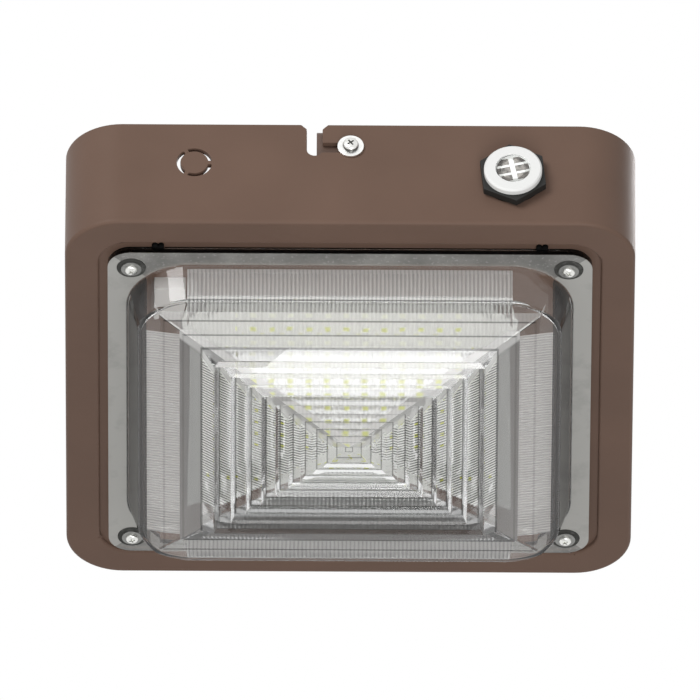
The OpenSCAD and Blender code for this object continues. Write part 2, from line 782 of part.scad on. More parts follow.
// A square ring of LEDs round a square block of them
module led_chips() color([0.95, 0.9, 0.45]) translate([0, 0, board_bottom - led_h]) {
    ring_end = (ring_count - 1) / 2;
    block_end = (block_count - 1) / 2;
    for (turn = [0 : 90 : 270], i = [-ring_end : ring_end])
        rotate(turn) translate([ring_at, i * led_pitch, 0]) led_chip();
    for (i = [-block_end : block_end], j = [-block_end : block_end])
        translate([i * led_pitch, j * led_pitch, 0]) led_chip();
}

module led_chip() {
    translate([-led_w / 2, -led_w / 2, 0]) cube([led_w, led_w, led_h]);
}

module led_board_screws() color([0.75, 0.75, 0.72]) {
    grip = board_t + pad_t + floor_top - seat_z;
    shank_l = grip + board_boss_h - boss_cap - screw_end_gap;
    at_corners(board_screw_at) translate([0, 0, board_bottom])
        pan_screw(board_screw_d, shank_l, board_head_d, board_head_h);
}

// Lead hole, its grommet and its cover

module lead_grommet() color([0.12, 0.12, 0.12]) translate([cover_x, cover_y, 0]) {
    lip_d = lead_hole_d + 2 * grommet_lip;
    through = floor_top - seat_z;
    difference() {
        union() {
            translate([0, 0, seat_z]) cylinder(d = lead_hole_d - 2 * fit_gap, h = through);
            translate([0, 0, floor_top]) cylinder(d = lip_d, h = grommet_lip_t);
            translate([0, 0, seat_z - grommet_lip_t]) cylinder(d = lip_d, h = grommet_lip_t);
        }
        translate([0, 0, seat_z - grommet_lip_t - past])
            cylinder(d = grommet_bore, h = through + 2 * grommet_lip_t + 2 * past);
    }
}

module lead_cover() color([0.94, 0.93, 0.92]) {
    outer = [cover_w, cover_l, cover_h];
    inner = [cover_w - 2 * cover_t, cover_l - 2 * cover_t, cover_h];
    translate([cover_x - cover_w / 2, cover_y - cover_l / 2, seat_z - cover_h]) difference() {
        cube(outer);
        translate([cover_t, cover_t, cover_t]) cube(inner);
        translate([cover_w - cover_t - past, (cover_l - cover_notch_w) / 2, cover_h - cover_notch_h])
            cube([cover_t + 2 * past, cover_notch_w, cover_notch_h + past]);
    }
}

// Driver

module driver_section() {
    inner = [driver_w - 2 * driver_edge_r, driver_h - 2 * driver_edge_r];
    translate([0, driver_h / 2]) {
        square([driver_w, inner.y], center = true);
        square([inner.x, driver_h], center = true);
        for (x = [-1, 1], y = [-1, 1])
            translate([x * inner.x / 2, y * inner.y / 2]) circle(driver_edge_r);
    }
}

module along_driver(length) translate([0, driver_y, driver_bottom])
    rotate([90, 0, 90]) linear_extrude(length, center = true) driver_section();

module driver_case() color([0.75, 0.76, 0.76]) difference() {
    along_driver(driver_l - 2 * cap_l);
    for (side = [-1, 1]) translate([0, driver_y + side * driver_w / 6, driver_bottom + driver_h])
        cube([driver_l, driver_w / 12, 2 * driver_groove], center = true);
}

// The right-hand end cap, with the hole that its leads come out of
module driver_end_cap() {
    lead_depth = cap_l / 2;
    difference() {
        intersection() {
            along_driver(driver_l);
            translate([driver_l / 2 - cap_l, driver_y - driver_w / 2, driver_bottom])
                cube([cap_l, driver_w, driver_h]);
        }
        translate([driver_l / 2 - lead_depth, driver_y, driver_bottom + 0.6 * driver_h])
            rotate([0, 90, 0]) cylinder(d = driver_lead_d, h = lead_depth + past);
    }
}

module driver_ear() difference() {
    translate([driver_l / 2, driver_y - driver_w / 4, driver_bottom])
        cube([ear_l, driver_w / 2, ear_t]);
    translate([driver_screw_at, driver_y, driver_bottom - past])
        cylinder(d = driver_hole_d, h = ear_t + 2 * past);
}

module driver_end_caps() color([0.16, 0.16, 0.17]) {
    for (side = [0, 1]) mirror([side, 0, 0]) {
        driver_end_cap();
        driver_ear();
    }
}

module driver_screws() color([0.75, 0.75, 0.72])
    for (side = [-1, 1])
        translate([side * driver_screw_at, driver_y, driver_bottom + ear_t]) mirror([0, 0, 1])
            pan_screw(driver_screw_d, ear_t + driver_boss_h - boss_cap - screw_end_gap,
                driver_head_d, driver_head_h);

// Light sensor

module sensor_gasket() color([0.1, 0.1, 0.1]) on_front_wall(sensor_x, sensor_z)
    tube(collar_d * cos(30) - 2 * sensor_gasket_inset, neck_d + 2 * fit_gap, sensor_gasket_t);

module sensor_body() color([0.17, 0.17, 0.16]) on_front_wall(sensor_x, sensor_z) {
    translate([0, 0, sensor_gasket_t]) rotate(90 + collar_turn)
        cylinder(d = collar_d, h = collar_t, $fn = 6);
    translate([0, 0, -wall_t - neck_l])
        cylinder(d = neck_d, h = wall_t + neck_l + sensor_gasket_t);
    translate([0, 0, -wall_t - neck_l - barrel_l]) cylinder(d = barrel_d, h = barrel_l);
}

module sensor_locknut() color([0.2, 0.2, 0.2]) on_front_wall(sensor_x, sensor_z)
    translate([0, 0, -wall_t - locknut_t]) difference() {
        cylinder(d = locknut_d, h = locknut_t, $fn = 6);
        translate([0, 0, -past]) cylinder(d = neck_d + 2 * fit_gap, h = locknut_t + 2 * past);
    }

module sensor_cap() color([0.93, 0.93, 0.9]) on_front_wall(sensor_x, sensor_z) {
    radius = sensor_cap_d / 2;
    pocket = window_t + cell_gap + cell_t;
    translate([0, 0, collar_front]) difference() {
        rotate_extrude() polygon([[0, 0], [radius, 0], [radius, sensor_cap_t - sensor_bevel],
            [radius - sensor_bevel, sensor_cap_t], [0, sensor_cap_t]]);
        translate([0, 0, sensor_cap_t - window_t])
            cylinder(d = window_d + 2 * fit_gap, h = window_t + past);
        translate([0, 0, sensor_cap_t - pocket]) cylinder(d = cell_d + 2 * fit_gap, h = pocket);
    }
}

module sensor_cell() color([0.55, 0.55, 0.53]) on_front_wall(sensor_x, sensor_z)
    translate([0, 0, cell_base]) cylinder(d = cell_d, h = cell_t);

module sensor_window() color([0.7, 0.7, 0.68, 0.6]) on_front_wall(sensor_x, sensor_z)
    translate([0, 0, collar_front + sensor_cap_t - window_t]) cylinder(d = window_d, h = window_t);

mounting_strap();
clinch_nuts();
ground_screw();
lock_washer_front();
lock_screw_front();
lock_washer_rear();
lock_screw_rear();
housing();
cast_ribs();
cast_bosses();
lens_gasket();
lens();
lens_screw_seals();
lens_screw_washers();
lens_screws();
thermal_pad();
led_board();
led_chips();
led_board_screws();
lead_grommet();
lead_cover();
driver_case();
driver_end_caps();
driver_screws();
sensor_gasket();
sensor_body();
sensor_locknut();
sensor_cap();
sensor_cell();
sensor_window();
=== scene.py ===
"""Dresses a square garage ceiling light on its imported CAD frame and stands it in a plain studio."""
import json
import math

import bmesh
import bpy
from mathutils import Matrix, Vector


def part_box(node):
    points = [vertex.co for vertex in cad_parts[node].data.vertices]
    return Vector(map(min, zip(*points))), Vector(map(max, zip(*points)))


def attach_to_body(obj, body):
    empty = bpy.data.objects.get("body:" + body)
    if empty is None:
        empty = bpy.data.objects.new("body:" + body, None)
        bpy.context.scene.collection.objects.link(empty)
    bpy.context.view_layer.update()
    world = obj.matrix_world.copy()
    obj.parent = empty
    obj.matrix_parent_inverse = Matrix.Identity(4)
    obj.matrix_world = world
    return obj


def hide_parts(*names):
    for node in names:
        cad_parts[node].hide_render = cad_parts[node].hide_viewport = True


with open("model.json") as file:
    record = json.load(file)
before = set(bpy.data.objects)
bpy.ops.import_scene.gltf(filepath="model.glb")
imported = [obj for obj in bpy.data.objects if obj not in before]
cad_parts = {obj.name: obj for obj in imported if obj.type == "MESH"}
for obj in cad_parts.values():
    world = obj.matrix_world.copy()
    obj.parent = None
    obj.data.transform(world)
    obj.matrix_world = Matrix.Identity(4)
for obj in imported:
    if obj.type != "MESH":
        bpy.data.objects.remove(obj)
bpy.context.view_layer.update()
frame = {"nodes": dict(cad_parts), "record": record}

bl_info = {
    "name": "Garage Ceiling Light",
    "version": (1, 0, 0),
    "blender": (4, 5, 0),
    "location": "3D View > Sidebar > Ceiling Light",
    "description": "Makes the pieces and finishes of a square garage ceiling light on its CAD frame",
    "category": "Add Mesh",
}

MM = 0.001
MERGE_WITHIN = 2e-6

# Angles between neighbouring faces, in degrees
FLAT_BELOW = 0.4
SMOOTH_BELOW = 32
LENS_SMOOTH_BELOW = 20
BEVEL_ABOVE = 35

# The CAD lens in metres: levels, distances from its middle, and the shape of its crown
RIM_LEVEL = -0.0766
FLUTES_TOP = -0.062
RIM_HALF = 0.0969
TEETH_TO = 0.0676
BAND_FROM = 0.0774
FRONT_FROM = 0.0885
LENS_WALL = 0.003
DROP_SLOPE = 0.29
CROWN_RISE = 0.0102
CROWN_POWER = 1.55
FLUTE_PITCH = 0.000925
FLUTE_REACH = 0.074


# Node trees


def socket_name(key):
    """The name of a socket from a keyword, such as Specular IOR Level from specular_ior_level."""
    return key.replace("_", " ").title().replace("Ior", "IOR")


class Num:
    """A number that flows through a node tree and takes part in Python sums."""

    def __init__(self, graph, socket):
        self.graph, self.socket = graph, socket

    def __add__(self, other):
        return self.graph.sum("ADD", self, other)

    def __sub__(self, other):
        return self.graph.sum("SUBTRACT", self, other)

    def __rsub__(self, other):
        return self.graph.sum("SUBTRACT", other, self)

    def __mul__(self, other):
        return self.graph.sum("MULTIPLY", self, other)

    def __truediv__(self, other):
        return self.graph.sum("DIVIDE", self, other)

    def __pow__(self, other):
        return self.graph.sum("POWER", self, other)

    def __gt__(self, other):
        return self.graph.sum("GREATER_THAN", self, other)

    def __lt__(self, other):
        return self.graph.sum("LESS_THAN", self, other)

    def __neg__(self):
        return self.graph.sum("MULTIPLY", self, -1.0)

    def __abs__(self):
        return self.graph.sum("ABSOLUTE", self)

    __radd__ = __add__
    __rmul__ = __mul__


class Graph:
    """A node tree that is written as code."""

    def __init__(self, tree):
        self.tree = tree
        tree.nodes.clear()

    def feed(self, socket, value):
        if isinstance(value, Num):
            value = value.socket
        if isinstance(value, bpy.types.NodeSocket):
            self.tree.links.new(value, socket)
        else:
            socket.default_value = value

    def node(self, kind, settings=None, inputs=None):
        """Adds a node, makes its settings first and then fills its sockets with values or links."""
        made = self.tree.nodes.new(kind)
        for name, value in (settings or {}).items():
            setattr(made, name, value)
        for key, value in (inputs or {}).items():
            if isinstance(value, list):
                for one in value:
                    self.feed(made.inputs[key], one)
            else:
                self.feed(made.inputs[key], value)
        return made

    def sum(self, operation, *values):
        made = self.node("ShaderNodeMath", {"operation": operation}, dict(enumerate(values)))
        return Num(self, made.outputs[0])

    def larger(self, one, other):
        return self.sum("MAXIMUM", one, other)

    def smaller(self, one, other):
        return self.sum("MINIMUM", one, other)

    def from_line(self, value, half):
        """How far a value lies from the nearest of the lines that stand two halves apart, from 0 on."""
        return self.sum("PINGPONG", value, half)

    def split(self, vector):
        parts = self.node("ShaderNodeSeparateXYZ", inputs={0: vector}).outputs
        return [Num(self, part) for part in parts]

    def joined(self, x, y, z):
        return self.node("ShaderNodeCombineXYZ", inputs={0: x, 1: y, 2: z}).outputs[0]


class Finish(Graph):
    """A procedural finish: one shader whose patterns lie on Object coordinates."""

    def __init__(self, name, color, **constants):
        self.material = bpy.data.materials.new(name)
        self.material.use_nodes = True
        super().__init__(self.material.node_tree)
        self.color = (*color, 1.0)
        fixed = {socket_name(key): value for key, value in constants.items()}
        self.shader = self.node("ShaderNodeBsdfPrincipled", inputs={"Base Color": self.color, **fixed})
        self.output = self.node("ShaderNodeOutputMaterial", inputs={"Surface": self.shader.outputs[0]})
        self.place = self.node("ShaderNodeTexCoord").outputs["Object"]

    def put(self, **values):
        for key, value in values.items():
            self.feed(self.shader.inputs[socket_name(key)], value)

    def layer(self, share, color, roughness, ior, gloss=0.5):
        """Lays a plain coat over the finish, which covers it where share is 1."""
        below = self.output.inputs["Surface"].links[0].from_socket
        coat = self.node("ShaderNodeBsdfPrincipled", inputs={
            "Base Color": color, "Roughness": roughness, "IOR": ior, "Specular IOR Level": gloss})
        mixed = self.node("ShaderNodeMixShader", inputs={0: share, 1: below, 2: coat.outputs[0]})
        self.feed(self.output.inputs["Surface"], mixed.outputs[0])

    def grain(self, per_metre, detail=2.0, stretch=(1, 1, 1), rough=0.5):
        """Noise, stretched along an axis where its stretch is below 1."""
        place = self.node("ShaderNodeVectorMath", {"operation": "MULTIPLY"}, {0: self.place, 1: stretch})
        made = self.node("ShaderNodeTexNoise", inputs={
            "Vector": place.outputs[0], "Scale": per_metre, "Detail": detail, "Roughness": rough})
        return Num(self, made.outputs["Fac"])

    def flakes(self, per_metre):
        """A brightness that differs from one flake to the next."""
        made = self.node("ShaderNodeTexVoronoi", inputs={"Vector": self.place, "Scale": per_metre})
        return self.split(made.outputs["Color"])[0]

    def clamp(self, value, start, end):
        """Brings a range of a pattern to 0 to 1. It falls where start is above end."""
        made = self.node("ShaderNodeMapRange", inputs={0: value, 1: start, 2: end})
        return Num(self, made.outputs[0])

    def shade(self, factor, dark, light):
        made = self.node("ShaderNodeMix", {"data_type": "RGBA"}, {0: factor, 6: dark, 7: light})
        return made.outputs[2]

    def toned(self, factor, dark, light):
        """The finish's own colour between two brightnesses."""
        return self.shade(factor, self.scaled(dark), self.scaled(light))

    def scaled(self, by):
        return (*[min(1.0, c * by) for c in self.color[:3]], 1.0)

    def bump(self, height, distance, strength):
        inputs = {"Height": height, "Distance": distance, "Strength": strength}
        return self.node("ShaderNodeBump", inputs=inputs).outputs[0]


class Recipe(Graph):
    """A Geometry Nodes tree with named inputs."""

    KINDS = {"geometry": "NodeSocketGeometry", "length": "NodeSocketFloat", "number": "NodeSocketFloat",
             "count": "NodeSocketInt", "vector": "NodeSocketVector", "material": "NodeSocketMaterial"}

    def __init__(self, name, **inputs):
        tree = bpy.data.node_groups.new(name, "GeometryNodeTree")
        super().__init__(tree)
        self.keys = {}
        for key, kind in {"geometry": "geometry", **inputs, "material": "material"}.items():
            made = tree.interface.new_socket(
                socket_name(key), in_out="INPUT", socket_type=self.KINDS[kind])
            self.keys[key] = made.identifier
        tree.interface.new_socket("Geometry", in_out="OUTPUT", socket_type="NodeSocketGeometry")
        self.given = self.node("NodeGroupInput")

    def __getitem__(self, key):
        socket = self.given.outputs[list(self.keys).index(key)]
        return Num(self, socket)

    def geo(self, kind, settings=None, inputs=None):
        return self.node("GeometryNode" + kind, settings, inputs).outputs[0]

    def moved(self, geometry, place=(0, 0, 0), turn=(0, 0, 0)):
        return self.geo("Transform", inputs={
            "Geometry": geometry, "Translation": place, "Rotation": turn})

    def together(self, *parts):
        return self.geo("JoinGeometry", inputs={0: list(reversed(parts))})

    def welded(self, geometry):
        return self.geo("MergeByDistance", inputs={"Geometry": geometry, "Distance": 1e-6})

    def position(self):
        return self.split(self.node("GeometryNodeInputPosition").outputs[0])

    def reshaped(self, geometry, x, y, z):
        return self.geo("SetPosition", inputs={"Geometry": geometry, "Position": self.joined(x, y, z)})

    def less(self, geometry, *cutters):
        """Takes closed cutters out of a closed solid."""
        settings = {"operation": "DIFFERENCE", "solver": "MANIFOLD"}
        return self.geo("MeshBoolean", settings, {"Mesh 1": geometry, "Mesh 2": list(cutters)})

    def on_points(self, instance, rotation=None):
        inputs = {"Points": self.geo("MeshToPoints", inputs={0: self["geometry"]}), "Instance": instance}
        if rotation is not None:
            inputs["Rotation"] = rotation
        return self.geo("InstanceOnPoints", inputs=inputs)

    def done(self, geometry):
        """Realizes what the tree has placed and gives it its finish."""
        real = self.geo("RealizeInstances", inputs={0: geometry})
        coated = self.geo("SetMaterial", inputs={"Geometry": real, "Material": self["material"]})
        self.node("NodeGroupOutput", inputs={0: coated})
        return self


# Pieces


def settled(obj):
    """Turns an object with its modifiers into a plain mesh object of the same name."""
    depsgraph = bpy.context.evaluated_depsgraph_get()
    mesh = bpy.data.meshes.new_from_object(
        obj.evaluated_get(depsgraph), preserve_all_data_layers=True, depsgraph=depsgraph)
    if not mesh.polygons:
        raise RuntimeError(obj.name + " came out empty")
    old = obj.data
    obj.modifiers.clear()
    obj.data = mesh
    bpy.data.meshes.remove(old)
    mesh.name = obj.name
    return obj


def placed(name, data):
    obj = bpy.data.objects.new(name, data)
    bpy.context.scene.collection.objects.link(obj)
    return obj


def placed_form(name, form):
    """Places a form as an object with a mesh of the same name, and frees it."""
    mesh = bpy.data.meshes.new(name)
    form.to_mesh(mesh)
    form.free()
    return placed(name, mesh)


def merged(node):
    """A copy of a CAD solid whose loose triangles are joined."""
    form = bmesh.new()
    form.from_mesh(frame["nodes"][node].data)
    bmesh.ops.remove_doubles(form, verts=form.verts, dist=MERGE_WITHIN)
    return form


def points(places):
    form = bmesh.new()
    for place in places:
        form.verts.new(place)
    return form


def grown(name, recipe, base, **values):
    """Runs a recipe on a form, which may be bare points, and keeps the result as a plain mesh."""
    obj = placed_form(name, base)
    modifier = obj.modifiers.new("recipe", "NODES")
    modifier.node_group = recipe.tree
    for key, value in values.items():
        modifier[recipe.keys[key]] = value
    obj.update_tag()
    bpy.context.view_layer.update()
    return settled(obj)


def smoothed(mesh, degrees):
    """Shades a mesh smooth, apart from edges that turn by more than an angle."""
    if "custom_normal" in mesh.attributes:
        mesh.attributes.remove(mesh.attributes["custom_normal"])
    mesh.shade_smooth()
    mesh.set_sharp_from_angle(angle=math.radians(degrees))


def islands(node):
    """The boxes of the separate solids in a CAD node, as pairs of lowest and highest corners."""
    form = merged(node)
    found, seen = [], set()
    for start in form.verts:
        if start in seen:
            continue
        group, queue = [], [start]
        seen.add(start)
        while queue:
            vert = queue.pop()
            group.append(vert.co.copy())
            for edge in vert.link_edges:
                other = edge.other_vert(vert)
                if other not in seen:
                    seen.add(other)
                    queue.append(other)
        found.append((Vector(map(min, *group)), Vector(map(max, *group))))
    form.free()
    return sorted(found, key=lambda pair: (round(pair[0].x, 4), round(pair[0].y, 4)))


def body_of(node):
    bodies = frame["record"]["behaviour"]["bodies"]
    return next(name for name, nodes in bodies.items() if node in nodes)


def attach(obj, node, coat):
    """Gives a piece its finish, puts it on its node's body and hides the node's CAD solid."""
    obj.data.materials.clear()
    obj.data.materials.append(finish(coat))
    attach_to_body(obj, body_of(node))
    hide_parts(node)
    return obj


def dressed(node, coat, bevel=0.0):
    """A CAD solid with small bevels, smooth curved faces, and flat faces that are shaded flat."""
    form = merged(node)
    bmesh.ops.dissolve_limit(form, angle_limit=math.radians(FLAT_BELOW), verts=form.verts,
                             edges=form.edges)
    obj = placed_form(node + "_piece", form)
    if bevel:
        cut = obj.modifiers.new("edges", "BEVEL")
        cut.width, cut.segments, cut.limit_method = bevel, 2, "ANGLE"
        cut.angle_limit = math.radians(BEVEL_ABOVE)
        cut.use_clamp_overlap = False
        settled(obj)
    smoothed(obj.data, SMOOTH_BELOW)
    even = obj.modifiers.new("even", "WEIGHTED_NORMAL")
    even.keep_sharp = True
    return attach(settled(obj), node, coat)


# Finishes


def powder_coat(name, color):
    """Satin powder coat with its fine orange peel and a slight drift of tone."""
    f = Finish(name, color, ior=1.5, specular_ior_level=0.12)
    peel = f.grain(900, 3.0)
    drift = f.grain(22, 3.0)
    specks = f.clamp(f.grain(2600, 1.0), 0.56, 0.72)
    tone = f.clamp(drift, 0.3, 0.7) * 0.7 + specks * 0.3
    f.put(base_color=f.toned(tone, 0.93, 1.09), roughness=0.38 + drift * 0.12,
          normal=f.bump(peel + specks * 0.3, 0.00006, 0.5))
    return f.material


def pressed_steel(name, color):
    """Paint on pressed sheet, thinner over the fine scratches of handling."""
    f = Finish(name, color, ior=1.5)
    scratch = f.clamp(f.grain(260, 3.0, (1, 0.06, 1)), 0.62, 0.7)
    drift = f.grain(30, 3.0)
    f.put(base_color=f.toned(drift, 0.9, 1.1), roughness=0.36 + drift * 0.2,
          metallic=scratch * 0.4, normal=f.bump(f.grain(700, 2.0) - scratch * 0.4, 0.00005, 0.5))
    return f.material


def plated(name, color, roughness, rim=0.0):
    """Plated steel with fine turning lines and a faint spangle, and painted shade on the sides of a head.

    The painted shade lies on what is nearer than rim to the middle plane between front and rear wall.
    """
    f = Finish(name, color, metallic=1.0)
    line = f.grain(1400, 2.0, (1, 1, 0.04))
    flake = f.flakes(700)
    _, y, _ = f.split(f.place)
    # painted shade: the sides of a head, nearer than rim to the middle plane, are painted dark
    side = f.clamp(abs(y), rim, rim - 0.0002)
    f.put(base_color=f.shade(side, f.toned(flake, 0.94, 1.05), f.scaled(0.14)),
          roughness=roughness + line * 0.12 + flake * 0.05, normal=f.bump(line, 0.00003, 0.35))
    return f.material


def rubber(name, color):
    """Dull rubber with a little dust in its pores."""
    f = Finish(name, color, ior=1.45, specular_ior_level=0.0)
    dust = f.clamp(f.grain(320, 4.0), 0.52, 0.75)
    f.put(base_color=f.toned(dust, 0.9, 1.8), roughness=0.62 + dust * 0.22,
          normal=f.bump(f.grain(1500, 3.0), 0.00005, 0.6))
    return f.material


def moulded(name, color, roughness, gloss=0.3):
    """Moulded plastic with a spark-eroded texture."""
    f = Finish(name, color, ior=1.5, specular_ior_level=gloss)
    pits = f.grain(1800, 3.0)
    drift = f.grain(60, 2.0)
    f.put(base_color=f.toned(drift, 0.96, 1.05), roughness=roughness + pits * 0.12,
          normal=f.bump(pits, 0.00004, 0.4))
    return f.material


def clear_plastic(name, color):
    """Clear moulded plastic, with the slight unevenness of its faces."""
    f = Finish(name, color, ior=1.49, transmission_weight=1.0, specular_ior_level=0.2)
    flow = f.grain(45, 2.0)
    f.put(base_color=f.toned(flow, 0.985, 1.0), roughness=0.004 + f.clamp(flow, 0.6, 0.8) * 0.008)
    return f.material


class LensFinish(Finish):
    """The finish of the lens, which knows where on the lens a point lies.

    out is the distance from the middle across a sector, and along the distance along it. beside is
    1 in the left and right sectors. drop is out, traced down to the rim at the slope of the drop wall.
    """

    IOR = 1.5
    BLACK = (0.0, 0.0, 0.0, 1.0)
    INNER_FACES_FROM = RIM_LEVEL + LENS_WALL / 2
    INNER_WALL_TO = 0.0955
    OUTER_WALL_FROM = 0.0962
    SIDE_WALL_FROM = 0.0925
    FLUTES_END = 0.099
    UNDER_FLANGE = -0.0599

    def __init__(self, name, color):
        super().__init__(name, color, ior=self.IOR, transmission_weight=1.0, specular_ior_level=0.3)
        self.x, self.y, self.z = self.split(self.place)
        self.from_x, self.from_y = abs(self.x), abs(self.y)
        self.out = self.larger(self.from_x, self.from_y)
        self.along = self.smaller(self.from_x, self.from_y)
        self.beside = self.from_x > self.from_y
        self.drop = self.out - (self.z - RIM_LEVEL) * DROP_SLOPE
        self.crown = (1 - (self.out / RIM_HALF) ** CROWN_POWER) * CROWN_RISE

    def between(self, value, low, high):
        return (value > low) * (value < high)

    def cloudy_flange_and_painted_light(self, haze):
        """Cloudy plastic under the flange, beyond the round-cornered square of the drop wall; its grey is
        partly painted reflection, and it is painted lighter and thicker in the side sectors.
        """
        straight, corner = 0.0719, 0.0299
        over = [self.larger(c - straight, 0.0) for c in (self.from_x, self.from_y)]
        beyond = self.sum("SQRT", over[0] * over[0] + over[1] * over[1]) - corner
        underside = self.clamp(beyond, 0.0, 0.0006) * self.clamp(-self.z, 0.0594, 0.0596)
        streak = self.grain(60, 4.0, rough=0.6)
        speck = self.clamp(self.grain(700, 2.0), 0.6, 0.7)
        dark, light = [(*[c * by for c in haze], 1.0) for by in (0.7, 1.25)]
        # painted light: the layer is thicker and paler in the side sectors
        share = underside * (0.4 + self.beside * 0.35 + streak * 0.5 + speck * 0.3)
        self.layer(share, self.shade(streak + self.beside * 0.5, dark, light), 0.32, self.IOR)

    def painted_package_spots(self, near):
        """Painted images of the light packages: soft spots in their pitch, livelier in some rows."""
        half_pitch, spot, edge, reach = 0.00425, 0.0008, 0.002, 0.052
        columns, rows = [self.clamp(self.from_line(c + self.grain(90) * 0.003, half_pitch), edge, spot)
                         for c in (self.x, self.y)]
        outer_row, inner_rows = self.between(self.out, 0.0725, 0.0805), self.out < 0.046
        lively = self.larger(outer_row, inner_rows)
        return near * columns * rows * (self.along < reach) * (0.3 + lively * 0.7)

    def painted_light_in_flutes(self, frost, package_spot_color):
        """A frosty layer on the fluted inner faces whose tone is painted light: pale in the near sector, dark
        in the far one, darker along flute lines, by the near rim and on one near tooth, with painted
        highlights on the side mitres and painted shade on the side drop walls.
        """
        out, beside = self.out, self.beside
        inside = (self.between(self.z, self.INNER_FACES_FROM - self.crown, self.UNDER_FLANGE)
                  * (self.drop < self.INNER_WALL_TO))
        at_front = (1 - beside) * (self.y < 0.0)
        fluted = (out > BAND_FROM + at_front * (FRONT_FROM - BAND_FROM)) * (
            out < self.FLUTES_END - beside * (self.FLUTES_END - self.SIDE_WALL_FROM)) * (
            self.clamp(self.along, FLUTE_REACH + 0.0002, FLUTE_REACH))
        near = at_front * (out < FRONT_FROM)
        far = (1 - beside) * (self.y > 0.0) * (out < BAND_FROM)
        # painted highlight along the mitres in the side sectors
        mitre = (self.y < 0.0) * (out < BAND_FROM) * self.clamp(out - self.along, 0.007, 0.005)
        rim = at_front * (out < 0.0945)
        painted_shade_tooth = self.between(out, 0.031, 0.039)
        flute = self.clamp(self.from_line(self.along, FLUTE_PITCH) / MM, 0.3, 0.75)

        # painted light and shade make up the tone of this layer
        tone = (fluted * (0.8 + beside * 0.2 - rim * 0.3 - flute * 0.4) + far * 0.12
                + near * (1 - flute * 0.1 - painted_shade_tooth * 0.4) + mitre * beside * 0.4)
        share = (mitre * 0.55 + fluted * (0.5 + flute * 0.15) + near * (0.45 - (out > TEETH_TO) * 0.1)
                 + far * (0.06 + self.clamp(out, 0.036, 0.048) * 0.54))
        plain_band = beside * self.between(out, TEETH_TO, BAND_FROM)
        # painted shade: a nearly black sheet on the side drop walls
        drop_wall_shade, teeth = beside * (out > self.SIDE_WALL_FROM), beside * (out < TEETH_TO)
        for zone, paleness, cover in ((plain_band, 0.31, 0.75), (drop_wall_shade, 0.02, 0.8), (teeth, 0.3, 0.1)):
            tone = tone + zone * paleness
            share = share + zone * cover

        # painted images of the light packages, as if seen through the flutes
        glow = self.painted_package_spots(near)
        pale = self.shade(tone, self.BLACK, (*frost, 1.0))
        color = self.shade(glow * 0.8, pale, (*package_spot_color, 1.0))
        self.layer(inside * (share + glow * 0.45), color, 0.4, self.IOR)

    def painted_root_shade(self):
        """Painted shade: dark lines in the roots between the teeth, and darker drop walls at the sides.

        Each tooth is narrower than the last one by an equal step, so the number of teeth from the
        outermost one to a point follows a square root.
        """
        widest, fall, start = 8.0, 0.4, 67.59  # millimetres
        half_way = widest + fall / 2
        rest = self.out * (2 * fall / MM) + (half_way ** 2 - 2 * fall * start)
        step = (half_way - self.sum("SQRT", rest)) / fall
        lowest, highest = RIM_LEVEL - 0.0007, RIM_LEVEL + 0.0008
        at_roots = self.between(self.z, lowest - self.crown, highest - self.crown)
        root_shade = at_roots * (self.out < FRONT_FROM) * self.clamp(self.from_line(step, 0.5), 0.075, 0.04)
        below = self.z < self.UNDER_FLANGE - 0.0003
        side_wall_shade = self.beside * (self.drop > self.OUTER_WALL_FROM) * below
        weaker = self.beside * (self.out > 0.0686) * 0.4
        # painted shade: a dark sheet in the roots and on the outer side drop walls
        self.layer(root_shade * (0.55 - weaker) + side_wall_shade * 0.3, (0.03, 0.03, 0.03, 1.0), 0.5, self.IOR, 0.0)


def lens_plastic(name, color, haze, frost, package_spot_color):
    """Clear plastic with a hazy flange, frosty flutes and dark lines between the teeth; painted light makes
    the flange paler at the sides and the flutes pale near and dark far, with painted images of the light
    packages, and the lines between the teeth are painted shade.
    """
    f = LensFinish(name, color)
    flow = f.grain(45, 2.0)
    f.put(base_color=f.toned(flow, 0.985, 1.0), roughness=f.clamp(flow, 0.6, 0.8) * 0.006)
    f.cloudy_flange_and_painted_light(haze)
    f.painted_light_in_flutes(frost, package_spot_color)
    f.painted_root_shade()
    return f.material


def solder_mask(name, color):
    """White mask over copper runs, which show as faint bands with rounded edges."""
    f = Finish(name, color, ior=1.5)
    x, y, _ = f.split(f.place)
    half_pitch = 4.25  # millimetres
    across, down = [f.from_line(c / MM + half_pitch, half_pitch) for c in (x, y)]
    relief = 1 - f.larger(f.clamp(across, 3.75, 4.0), f.clamp(down, 3.9, 4.1))
    grain = f.grain(900, 2.0)
    f.put(base_color=f.toned(relief * 0.8 + grain * 0.2, 0.93, 1.04), roughness=0.34 + grain * 0.12,
          normal=f.bump(relief + grain * 0.1, 0.00006, 0.5))
    return f.material


def phosphor(name, color):
    """Yellow phosphor grains under a skin of clear resin."""
    f = Finish(name, color, roughness=0.5, coat_weight=0.6, coat_roughness=0.08)
    grain = f.flakes(9000)
    f.put(base_color=f.toned(grain, 0.88, 1.1), normal=f.bump(grain, 0.00003, 0.3))
    return f.material


def extruded(name, color):
    """Satin extrusion with die lines along X."""
    f = Finish(name, color, metallic=0.9)
    lines = f.grain(1100, 3.0, (0.02, 1, 1))
    f.put(base_color=f.toned(lines, 0.9, 1.06), roughness=0.3 + lines * 0.16,
          normal=f.bump(lines, 0.00004, 0.5))
    return f.material


